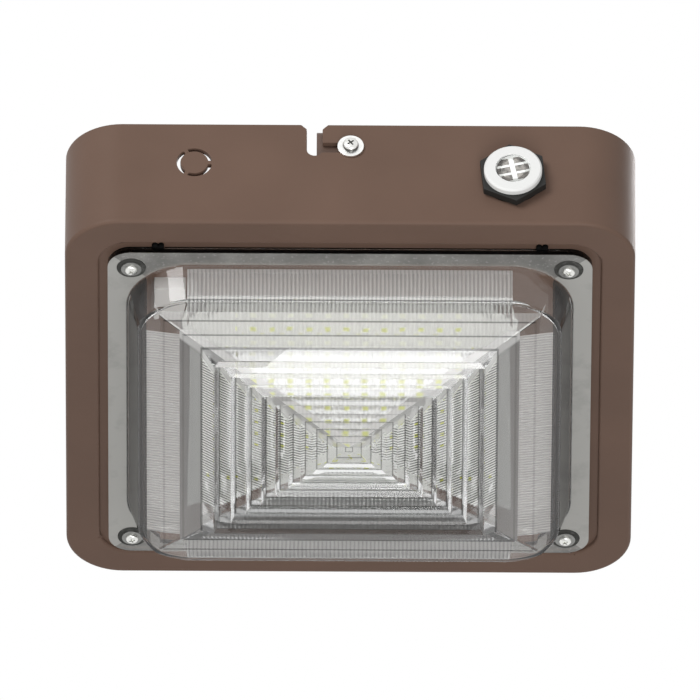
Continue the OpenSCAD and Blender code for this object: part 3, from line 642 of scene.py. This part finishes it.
def light_cell(name, color, centre):
    """The white cap and the cell in its middle: six striped fields, parted by pale bars.

    Its sizes are in millimetres, and the bars lean a little, as the sensor is turned in its hole.
    """
    f = Finish(name, color, roughness=0.5, ior=1.5, specular_ior_level=0.2)
    cap_color = (0.93, 0.935, 0.92, 1.0)
    x, _, z = f.split(f.place)
    across, down = (x - centre[0]) / MM, (z - centre[1]) / MM
    upright_lean, level_lean, half_field, half_stripe = 0.2, 0.25, 2.4, 0.35
    upright = f.clamp(abs(across + down * upright_lean), 1.3, 1.1)
    level = f.clamp(f.from_line(down - across * level_lean + half_field, half_field), 0.75, 0.6)
    beyond = f.clamp(across * across + down * down, 54.0, 57.0)
    pale = f.larger(f.larger(upright, level), beyond)
    stripe = f.clamp(f.from_line(across * level_lean + down, half_stripe), 0.12, 0.2)
    blot = f.clamp(f.grain(300, 2.0), 0.35, 0.65)
    field = f.shade(stripe * 0.4 + blot * 0.6, f.scaled(0.2), f.scaled(7.0))
    f.put(base_color=f.shade(pale, field, cap_color), normal=f.bump(stripe + pale, 0.00005, 0.5))
    return f.material


# Recipes


def screw_recipe():
    """Pan screws on the base points: a domed head with a tapered cross recess and a threaded shank.

    The head is turned from a grid whose columns run round the axis and whose rows follow the dome.
    """
    r = Recipe("pan_screw", direction="vector", head="length", head_height="length",
               shank="length", shank_length="length", pitch="length", seed="count")
    around, rows = 28, 9
    grid = r.geo("MeshGrid", inputs={
        "Size X": 1.0, "Size Y": 1.0, "Vertices X": around + 1, "Vertices Y": rows})
    x, y, z = r.position()
    angle = x * math.tau
    step = (y + 0.5) * (rows - 1) / (rows - 2)
    rise = r.smaller(step, 1.0) * (math.pi / 2)
    on_dome = step < 1.001
    reach = (abs(r.sum("SINE", rise)) ** 0.55) * on_dome * r["head"] * 0.5
    height = (abs(r.sum("COSINE", rise)) ** 0.75) * r["head_height"]
    turned = r.reshaped(grid, reach * r.sum("COSINE", angle), reach * r.sum("SINE", angle), -height)

    wing_length, wing_width, wing_height, wing_place, wing_taper = 0.62, 0.13, 1.5, 1.15, 0.35
    wing = r.geo("MeshCube", inputs={"Size": r.joined(
        r["head"] * wing_length, r["head"] * wing_width, r["head_height"] * wing_height)})
    narrow = 1 - (z > 0.0) * wing_taper
    wing = r.reshaped(wing, x * narrow, y * narrow, z - r["head_height"] * wing_place)
    head = r.less(r.welded(turned), wing, r.moved(wing, turn=(0, 0, math.pi / 2)))

    core_share, thread_share, ridge_share, bite = 0.41, 0.39, 0.1, 0.00005
    core = r.moved(r.geo("MeshCylinder", inputs={
        "Vertices": 20, "Radius": r["shank"] * core_share, "Depth": r["shank_length"]}),
        place=r.joined(0.0, 0.0, r["shank_length"] * 0.5 - bite))
    threaded = r["shank_length"] - r["pitch"]
    helix = r.geo("CurveSpiral", inputs={
        "Resolution": 16, "Rotations": threaded / r["pitch"], "Height": threaded,
        "Start Radius": r["shank"] * thread_share, "End Radius": r["shank"] * thread_share})
    ridge = r.geo("CurvePrimitiveCircle", inputs={"Resolution": 4, "Radius": r["shank"] * ridge_share})
    thread = r.moved(r.geo("CurveToMesh", inputs={
        "Curve": helix, "Profile Curve": ridge, "Fill Caps": True}),
        place=r.joined(0.0, 0.0, r["pitch"] * 0.5))

    twist = r.node("FunctionNodeRandomValue", {"data_type": "FLOAT"}, {
        2: 0.0, 3: math.tau, 8: r["seed"]}).outputs[1]
    spin = r.node("FunctionNodeAxisAngleToRotation", inputs={0: (0, 0, 1), 1: twist}).outputs[0]
    lean = r.node("FunctionNodeAlignRotationToVector", {"axis": "Z"}, {
        "Rotation": spin, "Vector": r["direction"]}).outputs[0]
    return r.done(r.on_points(r.together(head, core, thread), lean))


def rib_recipe():
    """Cast ribs on the base points, with draft on their sides, a rounded top and sloping ends."""
    r = Recipe("cast_rib", length="length", thickness="length", height="length", draft="number")
    block = r.geo("MeshCube", inputs={
        "Size": (1.0, 1.0, 1.0), "Vertices X": 49, "Vertices Y": 7, "Vertices Z": 13})
    x, y, z = r.position()
    up = z + 0.5
    narrow = 1 - up * r["draft"]
    edge_drop, roundness = 0.12, 2.5
    crest = r["height"] * (1 - edge_drop * abs(y * 2) ** roundness)
    end_slope = 1 - up * r["height"] / r["length"]
    rib = r.reshaped(block, x * r["length"] * end_slope, y * r["thickness"] * narrow, up * crest)
    return r.done(r.on_points(rib))


class LensRecipe(Recipe):
    """Cuts fine flutes into the inner faces of the clear lens, and a groove along its mitres."""

    def __init__(self):
        super().__init__(
            "fluted_lens", pitch="length", reach="length", depth="length", band_depth="length",
            wall_depth="length", mitre_gap="length", band_from="length", front_from="length",
            teeth_to="length", rim_half="length", rim_level="length", flutes_top="length",
            crown="length", power="number", wall="length", slope="number", bite="length",
            groove="length", groove_from="length", groove_to="length")
        self.x, self.y, self.z = self.position()
        self.from_x, self.from_y = abs(self.x), abs(self.y)
        self.odd_x, self.odd_y = [
            self.sum("MODULO", self.sum("ROUND", c / self["pitch"]), 2.0) for c in (self.from_x, self.from_y)]
        cutters = [self.moved(part, turn=(0, 0, quarter * math.pi / 2 + turn))
                   for part, turn in ((self.wall_slab(), 0), (self.mitre_wedge(), math.pi / 4))
                   for quarter in range(4)]
        self.done(self.less(self["geometry"], self.hollow_block(), *cutters))

    def hollow(self, out):
        """The level of the inner face of the crown at a distance from the middle."""
        rise = self["crown"] * (1 - (out / self["rim_half"]) ** self["power"])
        return self["rim_level"] + self["wall"] - rise

    def hollow_block(self):
        """A block on a grid without corners that follows the hollow of the crown, a hair below it.

        Every other line of the grid sinks by the depth of a flute. The flutes run along Y in the
        near and far sectors, along X in the side sectors, and stop short of the mitres. They are
        deeper on the outer bands, and at the sides one band before the teeth has none.
        """
        near_or_far = self.from_y > self.from_x
        odd = self.odd_x * near_or_far + self.odd_y * (1 - near_or_far)
        from_mitre = abs(self.from_x - self.from_y) / self["mitre_gap"] - 1
        clear = self.smaller(self.larger(from_mitre, 0.0), 1.0)
        out = self.larger(self.from_x, self.from_y)
        fine_to = self["teeth_to"] + near_or_far * (self["front_from"] - self["teeth_to"])
        coarse_from = self["band_from"] + near_or_far * (self["front_from"] - self["band_from"])
        depth = (out < fine_to) * self["depth"] + (out > coarse_from) * self["band_depth"]
        edge = self.sum("FLOOR", (self["rim_half"] - self["wall"]) / self["pitch"] - 0.5)
        size, count = edge * self["pitch"] * 2, edge * 2 + 1
        field = self.geo("MeshGrid", inputs={
            "Size X": size, "Size Y": size, "Vertices X": count, "Vertices Y": count})
        field = self.geo("DeleteGeometry", {"domain": "FACE"}, {
            "Geometry": field, "Selection": self.smaller(self.from_x, self.from_y) > self["reach"]})
        level = self.hollow(out) - self["bite"] - odd * clear * depth
        field = self.reshaped(field, self.x, self.y, level)
        thickness = self["wall"] * 0.8
        lid = self.geo("ExtrudeMesh", inputs={
            "Mesh": field, "Offset": self.joined(0.0, 0.0, thickness), "Individual": False})
        return self.welded(self.together(lid, self.geo("FlipFaces", inputs={0: field})))

    def wall_slab(self):
        """A corrugated slab that lies against the inside of the near drop wall."""
        low, outward = self.z < 0.0, self.y < 0.0
        level = low * (self["rim_level"] + self["wall"] * 1.2) + (1 - low) * self["flutes_top"]
        inner = self["rim_half"] - self["wall"] + self["slope"] * (level - self["rim_level"])
        fluted = self["bite"] + self.odd_x * self["wall_depth"]
        bitten = outward * fluted - (1 - outward) * self["wall"] * 0.5
        slab = self.geo("MeshCube", inputs={
            "Size": self.joined(self["reach"] * 2, self["wall"], self["wall"]),
            "Vertices X": self.sum("ROUND", self["reach"] * 2 / self["pitch"]) + 1})
        return self.reshaped(slab, self.x, -(inner + bitten), level)

    def mitre_wedge(self):
        """A narrow wedge along X that cuts the groove of one outer mitre, once it is turned."""
        diagonal = math.sqrt(2)
        long = (self["groove_to"] - self["groove_from"]) * diagonal
        wedge = self.geo("MeshCube", inputs={
            "Size": self.joined(long, self["groove"], self["wall"]), "Vertices X": 15, "Vertices Y": 3})
        place = (self["groove_from"] + self["groove_to"]) / diagonal + self.x
        low = self.z < 0.0
        keel = low * (self.from_y < 1e-5) * self["groove"] * 0.5
        level = self.hollow(place / diagonal) + (1 - low) * self["wall"] * 0.4 - keel
        return self.reshaped(wedge, place, self.y, level)


def package_recipe(plan_share, rise_share, sink_share):
    """Blocks that narrow downwards, on the base points, sized by shares of the light packages."""
    r = Recipe("package_block", width="length", height="length")
    plan = r["width"] * plan_share
    block = r.geo("MeshCube", inputs={"Size": r.joined(plan, plan, r["height"] * rise_share)})
    x, y, z = r.position()
    taper = 0.14
    narrow = 1 - (z < 0.0) * taper
    return r.done(r.on_points(r.reshaped(block, x * narrow, y * narrow, z - r["height"] * sink_share)))


# Settings


def colour(name, description, default):
    return bpy.props.FloatVectorProperty(
        name=name, description=description, subtype="COLOR", size=3, min=0.0, max=1.0, default=default)


def length(name, description, default):
    return bpy.props.FloatProperty(
        name=name, description=description, default=default, min=0.0, subtype="DISTANCE", unit="LENGTH")


def power(name, description, default):
    return bpy.props.FloatProperty(
        name=name, description=description, default=default, min=0.0, unit="POWER")


class LightColours(bpy.types.PropertyGroup):
    """Colours of the light's finishes"""

    paint: colour("Housing paint", "Powder coat of the cast housing", (0.168, 0.106, 0.0795))
    strap: colour("Strap paint", "Paint of the strap bracket", (0.13, 0.08, 0.06))
    dark_zinc: colour("Dark zinc", "Blackened washers of the lens screws", (0.27, 0.27, 0.26))
    zinc: colour("Zinc", "Zinc plate of the clinch nuts", (0.6, 0.6, 0.58))
    bright: colour("Bright plate", "Plate of the lock washers", (0.93, 0.93, 0.91))
    steel: colour("Screw steel", "Stainless steel of the screws", (0.78, 0.78, 0.75))
    green: colour("Ground screw", "Green plate of the ground screw", (0.05, 0.26, 0.09))
    rubber: colour("Rubber", "Gaskets and grommet", (0.008, 0.008, 0.008))
    seal: colour("Seal rubber", "Seals under the washers of the lens screws", (0.085, 0.085, 0.08))
    black: colour("Black plastic", "Sensor body, lock nut and driver caps", (0.016, 0.016, 0.015))
    white: colour("White plastic", "Trays of the light packages", (0.86, 0.86, 0.83))
    cover: colour("Cover plastic", "Lead cover behind the lens", (0.6, 0.57, 0.55))
    board: colour("Board", "Solder mask of the light board", (0.88, 0.88, 0.84))
    phosphor: colour("Phosphor", "Beds of the light packages", (0.68, 0.7, 0.06))
    pad: colour("Pad", "Heat-conducting pad", (0.2, 0.24, 0.32))
    alloy: colour("Alloy", "Extruded driver case", (0.62, 0.63, 0.64))
    cell: colour("Cell", "Light-sensitive cell", (0.07, 0.065, 0.06))
    clear: colour("Lens", "Clear lens and sensor window", (0.97, 0.98, 0.975))
    # colour under the flange: cloudy plastic and painted reflection
    haze: colour("Flange haze", "Hazy underside of the lens flange", (0.36, 0.355, 0.335))
    # colour of the painted images of the light packages in the flutes
    glow: colour("Flute glow", "Light packages scattered in the flutes", (0.8, 0.84, 0.2))
    # palest colour of the painted light in the flutes
    frost: colour("Flute frost", "Light scattered in the flutes of the lens", (0.9, 0.885, 0.87))


class LightSizes(bpy.types.PropertyGroup):
    """Sizes of what is added to the CAD solids"""

    cast_edge: length("Casting edge", "Bevel on the edges of the casting", 0.0004)
    fine_edge: length("Fine edge", "Bevel on the edges of small pieces", 0.00015)
    coarse_pitch: length("Coarse pitch", "Thread pitch of the larger screws", 0.0008)
    fine_pitch: length("Fine pitch", "Thread pitch of the board screws", 0.0006)
    flute_pitch: length("Flute pitch", "Width of one side of a flute", FLUTE_PITCH)
    flute_depth: length("Flute depth", "Depth of the flutes on the crown", 0.0002)
    band_flute_depth: length("Band flute depth", "Depth of the flutes on the outer bands", 0.0004)
    wall_flute_depth: length("Wall flute depth", "Depth of the flutes on the drop walls", 0.0005)
    flute_reach: length("Flute reach", "From the middle of the lens to the last flute", FLUTE_REACH)
    twist_seed: bpy.props.IntProperty(
        name="Twist seed", description="Chooses how far each screw is turned home", default=3)


class StudioSettings(bpy.types.PropertyGroup):
    """Camera, floor and lamps"""

    distance: length("Camera distance", "From the camera to the light", 15.18)
    focal: bpy.props.FloatProperty(
        name="Focal length", description="Focal length of the camera", default=1700.0,
        min=1.0, unit="CAMERA")
    roll: bpy.props.FloatProperty(
        name="Roll", description="Turn of the camera about its own axis", default=math.radians(0.3),
        subtype="ANGLE")
    floor_drop: length("Floor depth", "From the ceiling plane down to the floor", 2.4)
    floor_radius: length("Floor radius", "Radius of the floor disc", 0.9)
    key: power("Key lamp", "Power of the lamp at the upper left", 30.0)
    fill: power("Fill lamp", "Power of the lamp below the light", 18.0)
    top: power("Top lamp", "Power of the lamp above and behind", 30.0)
    ambient: bpy.props.FloatProperty(
        name="Ambient", description="Brightness of the room on diffuse surfaces", default=0.35,
        min=0.0, max=1.0, subtype="FACTOR")


class CeilingLightSettings(bpy.types.PropertyGroup):
    """All settings of the ceiling light"""

    colours: bpy.props.PointerProperty(type=LightColours, name="Colours", description="Finish colours")
    sizes: bpy.props.PointerProperty(type=LightSizes, name="Sizes", description="Added sizes")
    studio: bpy.props.PointerProperty(type=StudioSettings, name="Studio", description="Studio")


def settings():
    return bpy.context.scene.ceiling_light


def lock_head_rim():
    """How far from the middle plane the crown of a lock screw's head begins; the painted shade on its sides
    stops there.
    """
    crown_depth = 0.0011
    return -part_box("lock_screw_front")[0][1] - crown_depth


def cell_centre():
    low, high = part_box("sensor_cell")
    return (low[0] + high[0]) / 2, (low[2] + high[2]) / 2


def finish(key):
    """The finish of that name, made once. The frame's own materials have the names of the slots."""
    name = "finish_" + key
    if name in bpy.data.materials:
        return bpy.data.materials[name]
    c = settings().colours
    makers = {
        "housing_paint": lambda: powder_coat(name, c.paint),
        "strap_paint": lambda: pressed_steel(name, c.strap),
        "dull_zinc": lambda: plated(name, c.zinc, 0.34),
        "dark_zinc": lambda: plated(name, c.dark_zinc, 0.4),
        "bright_plate": lambda: plated(name, c.bright, 0.22),
        "screw_steel": lambda: plated(name, c.steel, 0.2),
        # steel of the lock screws, with painted shade on the sides of the heads
        "lock_steel": lambda: plated(name, c.steel, 0.2, lock_head_rim()),
        "ground_green": lambda: plated(name, c.green, 0.3),
        "black_rubber": lambda: rubber(name, c.rubber),
        "grey_rubber": lambda: rubber(name, c.seal),
        "black_plastic": lambda: moulded(name, c.black, 0.42, gloss=0.32),
        "white_plastic": lambda: moulded(name, c.white, 0.36),
        "cover_plastic": lambda: moulded(name, c.cover, 0.4),
        "solder_mask": lambda: solder_mask(name, c.board),
        "phosphor": lambda: phosphor(name, c.phosphor),
        "heat_pad": lambda: rubber(name, c.pad),
        "driver_alloy": lambda: extruded(name, c.alloy),
        "light_cell": lambda: light_cell(name, c.cell, cell_centre()),
        "clear_lens": lambda: lens_plastic(name, c.clear, c.haze, c.frost, c.glow),
        "clear_window": lambda: clear_plastic(name, c.clear),
    }
    return makers[key]()


# Operators


class StageOperator(bpy.types.Operator):
    """Set the camera at the photograph's angle, the floor, the lamps and the white surroundings"""

    bl_idname = "ceiling_light.stage"
    bl_label = "Stage"

    def execute(self, context):
        studio = settings().studio
        self.camera(studio)
        self.world(studio)
        self.floor(studio)
        self.lamp("key", (-1.2, -2.2, 0.4), 1.3, studio.key)
        self.lamp("fill", (0.3, -1.2, -1.8), 1.1, studio.fill)
        self.lamp("top", (0.9, 1.4, 2.0), 1.3, studio.top)
        context.scene.view_settings.view_transform = "Standard"
        return {"FINISHED"}

    def camera(self, studio):
        data = bpy.data.cameras.new("photo_camera")
        data.sensor_width, data.lens, data.clip_end = 36.0, studio.focal, 100.0
        obj = placed("photo_camera", data)
        target = Vector((0.00018, 0.01379, -0.01755))
        run, rise = 0.786, 0.618
        ahead = Vector((0.0, run, rise)).normalized()
        side = Vector((0.0, -rise, run)).cross(-ahead).normalized()
        axes = Matrix((side, (-ahead).cross(side), -ahead)).transposed()
        turned = axes @ Matrix.Rotation(studio.roll, 3, "Z")
        obj.matrix_world = Matrix.Translation(target - ahead * studio.distance) @ turned.to_4x4()
        bpy.context.scene.camera = obj

    def world(self, studio):
        world = bpy.data.worlds.new("studio")
        world.use_nodes = True
        bpy.context.scene.world = world
        g = Graph(world.node_tree)
        path = g.node("ShaderNodeLightPath").outputs
        seen = Num(g, path["Diffuse Depth"]) < 0.5
        strength = seen * (1.0 - studio.ambient) + studio.ambient
        sky = g.node("ShaderNodeBackground", inputs={"Color": (1, 1, 1, 1), "Strength": strength})
        g.node("ShaderNodeOutputWorld", inputs={"Surface": sky.outputs[0]})

    def floor(self, studio):
        form = bmesh.new()
        bmesh.ops.create_circle(form, cap_ends=True, segments=96, radius=studio.floor_radius)
        bmesh.ops.translate(form, verts=form.verts, vec=(0, 0, -studio.floor_drop))
        obj = placed_form("studio_floor", form)
        f = Finish("pale_floor", (0.86, 0.86, 0.85), roughness=0.8)
        cloud = f.grain(3, 2.0)
        f.put(base_color=f.toned(cloud, 0.98, 1.02), normal=f.bump(f.grain(180, 2.0), 0.0002, 0.2))
        obj.data.materials.append(f.material)
        obj.visible_transmission = False
        obj.visible_camera = False

    def lamp(self, name, place, size, watts):
        data = bpy.data.lights.new("lamp_" + name, "AREA")
        data.shape, data.size, data.energy = "DISK", size, watts
        obj = placed("lamp_" + name, data)
        obj.location = place
        obj.visible_transmission = False
        away = (Vector(place) - Vector((0.0, 0.0, -0.03))).normalized()
        obj.rotation_euler = away.to_track_quat("Z", "Y").to_euler()


class BracketOperator(bpy.types.Operator):
    """Make the strap bracket with its clinch nuts and the green ground screw"""

    bl_idname = "ceiling_light.bracket"
    bl_label = "Strap bracket"

    def execute(self, context):
        edge = settings().sizes.fine_edge
        dressed("mounting_strap", "strap_paint", edge)
        dressed("clinch_nuts", "dull_zinc", edge)
        dressed("ground_screw", "ground_green", edge)
        return {"FINISHED"}


class HousingOperator(bpy.types.Operator):
    """Make the cast housing with its bosses and cooling ribs"""

    bl_idname = "ceiling_light.housing"
    bl_label = "Housing"

    def execute(self, context):
        edge = settings().sizes.cast_edge
        dressed("housing", "housing_paint", edge)
        dressed("cast_bosses", "housing_paint", edge)
        boxes = islands("cast_ribs")
        size = boxes[0][1] - boxes[0][0]
        base = points(((a.x + b.x) / 2, (a.y + b.y) / 2, a.z) for a, b in boxes)
        ribs = grown("cooling_ribs", rib_recipe(), base, length=size.x, thickness=size.y,
                     height=size.z, draft=0.2, material=finish("housing_paint"))
        attach(ribs, "cast_ribs", "housing_paint")
        return {"FINISHED"}


class LensOperator(bpy.types.Operator):
    """Make the stepped prismatic lens with its gasket, seals and washers"""

    bl_idname = "ceiling_light.lens"
    bl_label = "Lens"

    def execute(self, context):
        sizes = settings().sizes
        lens = grown("prism_lens", LensRecipe(), merged("lens"), pitch=sizes.flute_pitch,
                     reach=sizes.flute_reach, depth=sizes.flute_depth,
                     band_depth=sizes.band_flute_depth, wall_depth=sizes.wall_flute_depth,
                     mitre_gap=0.004, band_from=BAND_FROM, front_from=FRONT_FROM,
                     teeth_to=TEETH_TO, rim_half=RIM_HALF, rim_level=RIM_LEVEL,
                     flutes_top=FLUTES_TOP, crown=CROWN_RISE, power=CROWN_POWER, wall=LENS_WALL,
                     slope=DROP_SLOPE, bite=0.00005, groove=0.0013, groove_from=0.0705,
                     groove_to=0.0865, material=finish("clear_lens"))
        smoothed(lens.data, LENS_SMOOTH_BELOW)
        attach(lens, "lens", "clear_lens")
        lens.visible_shadow = False
        dressed("lens_gasket", "black_rubber", sizes.fine_edge)
        dressed("lens_screw_seals", "grey_rubber", sizes.fine_edge)
        dressed("lens_screw_washers", "dark_zinc", sizes.fine_edge)
        return {"FINISHED"}


class ScrewsOperator(bpy.types.Operator):
    """Make all cross-recess screws: for the lens, the board, the driver and the two slots"""

    bl_idname = "ceiling_light.screws"
    bl_label = "Screws"

    def execute(self, context):
        sizes = settings().sizes
        recipe = screw_recipe()
        # The heads, shanks and head heights are in millimetres
        for node, coat, toward, head, shank, height, pitch in (
                ("lens_screws", "screw_steel", (0, 0, 1), 5.8, 4.0, 1.6, sizes.coarse_pitch),
                ("led_board_screws", "screw_steel", (0, 0, 1), 5.4, 3.0, 1.8, sizes.fine_pitch),
                ("driver_screws", "screw_steel", (0, 0, -1), 7.2, 4.0, 2.4, sizes.coarse_pitch),
                ("lock_screw_front", "lock_steel", (0, 1, 0), 7.4, 4.2, 2.6, sizes.coarse_pitch),
                ("lock_screw_rear", "lock_steel", (0, -1, 0), 7.4, 4.2, 2.6, sizes.coarse_pitch)):
            way = Vector(toward)
            base, shank_length = [], 0.0
            for low, high in islands(node):
                whole = abs((high - low).dot(way))
                base.append((low + high) / 2 - way * (whole / 2 - height * MM))
                shank_length = whole - height * MM
            made = grown(node + "_piece", recipe, points(base), direction=toward, head=head * MM,
                         head_height=height * MM, shank=shank * MM, shank_length=shank_length,
                         pitch=pitch, seed=sizes.twist_seed, material=finish(coat))
            smoothed(made.data, SMOOTH_BELOW)
            attach(made, node, coat)
        return {"FINISHED"}


class BoardOperator(bpy.types.Operator):
    """Make the light board with its packages and the pad behind it"""

    bl_idname = "ceiling_light.board"
    bl_label = "Light board"

    def execute(self, context):
        dressed("led_board", "solder_mask", settings().sizes.fine_edge)
        dressed("thermal_pad", "heat_pad")
        boxes = islands("led_chips")
        size = boxes[0][1] - boxes[0][0]
        for name, shares, coat, slot in (
                ("package_trays", (1.0, 0.8, 0.4), "white_plastic", "board_white"),
                ("package_beds", (0.86, 0.3, 0.74), "phosphor", "led_phosphor")):
            base = points(((a.x + b.x) / 2, (a.y + b.y) / 2, b.z) for a, b in boxes)
            made = grown(name, package_recipe(*shares), base, width=size.x, height=size.z,
                         material=finish(coat))
            attach(made, "led_chips", coat)
        return {"FINISHED"}


class LeadsOperator(bpy.types.Operator):
    """Make the white cover over the lead hole and the grommet in the hole"""

    bl_idname = "ceiling_light.leads"
    bl_label = "Lead cover"

    def execute(self, context):
        dressed("lead_cover", "cover_plastic", settings().sizes.cast_edge)
        dressed("lead_grommet", "black_rubber", settings().sizes.fine_edge)
        return {"FINISHED"}


class DriverOperator(bpy.types.Operator):
    """Make the driver with its end caps"""

    bl_idname = "ceiling_light.driver"
    bl_label = "Driver"

    def execute(self, context):
        dressed("driver_case", "driver_alloy", settings().sizes.fine_edge)
        dressed("driver_end_caps", "black_plastic", settings().sizes.fine_edge)
        return {"FINISHED"}


class SensorOperator(bpy.types.Operator):
    """Make the light sensor: collar, lock nut, cap, cell, sealing washer and window"""

    bl_idname = "ceiling_light.sensor"
    bl_label = "Light sensor"

    def execute(self, context):
        sizes = settings().sizes
        dressed("sensor_body", "black_plastic", sizes.cast_edge)
        dressed("sensor_locknut", "black_plastic", sizes.cast_edge)
        dressed("sensor_cap", "light_cell", sizes.fine_edge)
        dressed("sensor_cell", "light_cell", sizes.fine_edge)
        dressed("sensor_gasket", "black_rubber", sizes.fine_edge)
        window = dressed("sensor_window", "clear_window", sizes.fine_edge)
        window.visible_shadow = False
        return {"FINISHED"}


class LockOperator(bpy.types.Operator):
    """Make the bright washers of the two lock screws"""

    bl_idname = "ceiling_light.lock"
    bl_label = "Lock washers"

    def execute(self, context):
        dressed("lock_washer_front", "bright_plate", settings().sizes.fine_edge)
        dressed("lock_washer_rear", "bright_plate", settings().sizes.fine_edge)
        return {"FINISHED"}


MAKERS = (StageOperator, BracketOperator, HousingOperator, LensOperator, ScrewsOperator,
          BoardOperator, LeadsOperator, DriverOperator, SensorOperator, LockOperator)


class CeilingLightPanel(bpy.types.Panel):
    """Lists the makers of the ceiling light's pieces and its settings"""

    bl_idname = "VIEW3D_PT_ceiling_light"
    bl_label = "Ceiling Light"
    bl_space_type = "VIEW_3D"
    bl_region_type = "UI"
    bl_category = "Ceiling Light"

    def draw(self, context):
        for maker in MAKERS:
            self.layout.operator(maker.bl_idname)
        for group in (settings().colours, settings().sizes, settings().studio):
            box = self.layout.box()
            for key in group.bl_rna.properties.keys():
                if key not in {"rna_type", "name"}:
                    box.prop(group, key)


CLASSES = (LightColours, LightSizes, StudioSettings, CeilingLightSettings, *MAKERS, CeilingLightPanel)


def register():
    for cls in CLASSES:
        bpy.utils.register_class(cls)
    bpy.types.Scene.ceiling_light = bpy.props.PointerProperty(
        type=CeilingLightSettings, name="Ceiling light", description="Settings of the ceiling light")


def unregister():
    del bpy.types.Scene.ceiling_light
    for cls in reversed(CLASSES):
        bpy.utils.unregister_class(cls)


def main():
    register()
    for maker in MAKERS:
        group, name = maker.bl_idname.split(".")
        getattr(getattr(bpy.ops, group), name)()


if __name__ == "__main__":
    main()
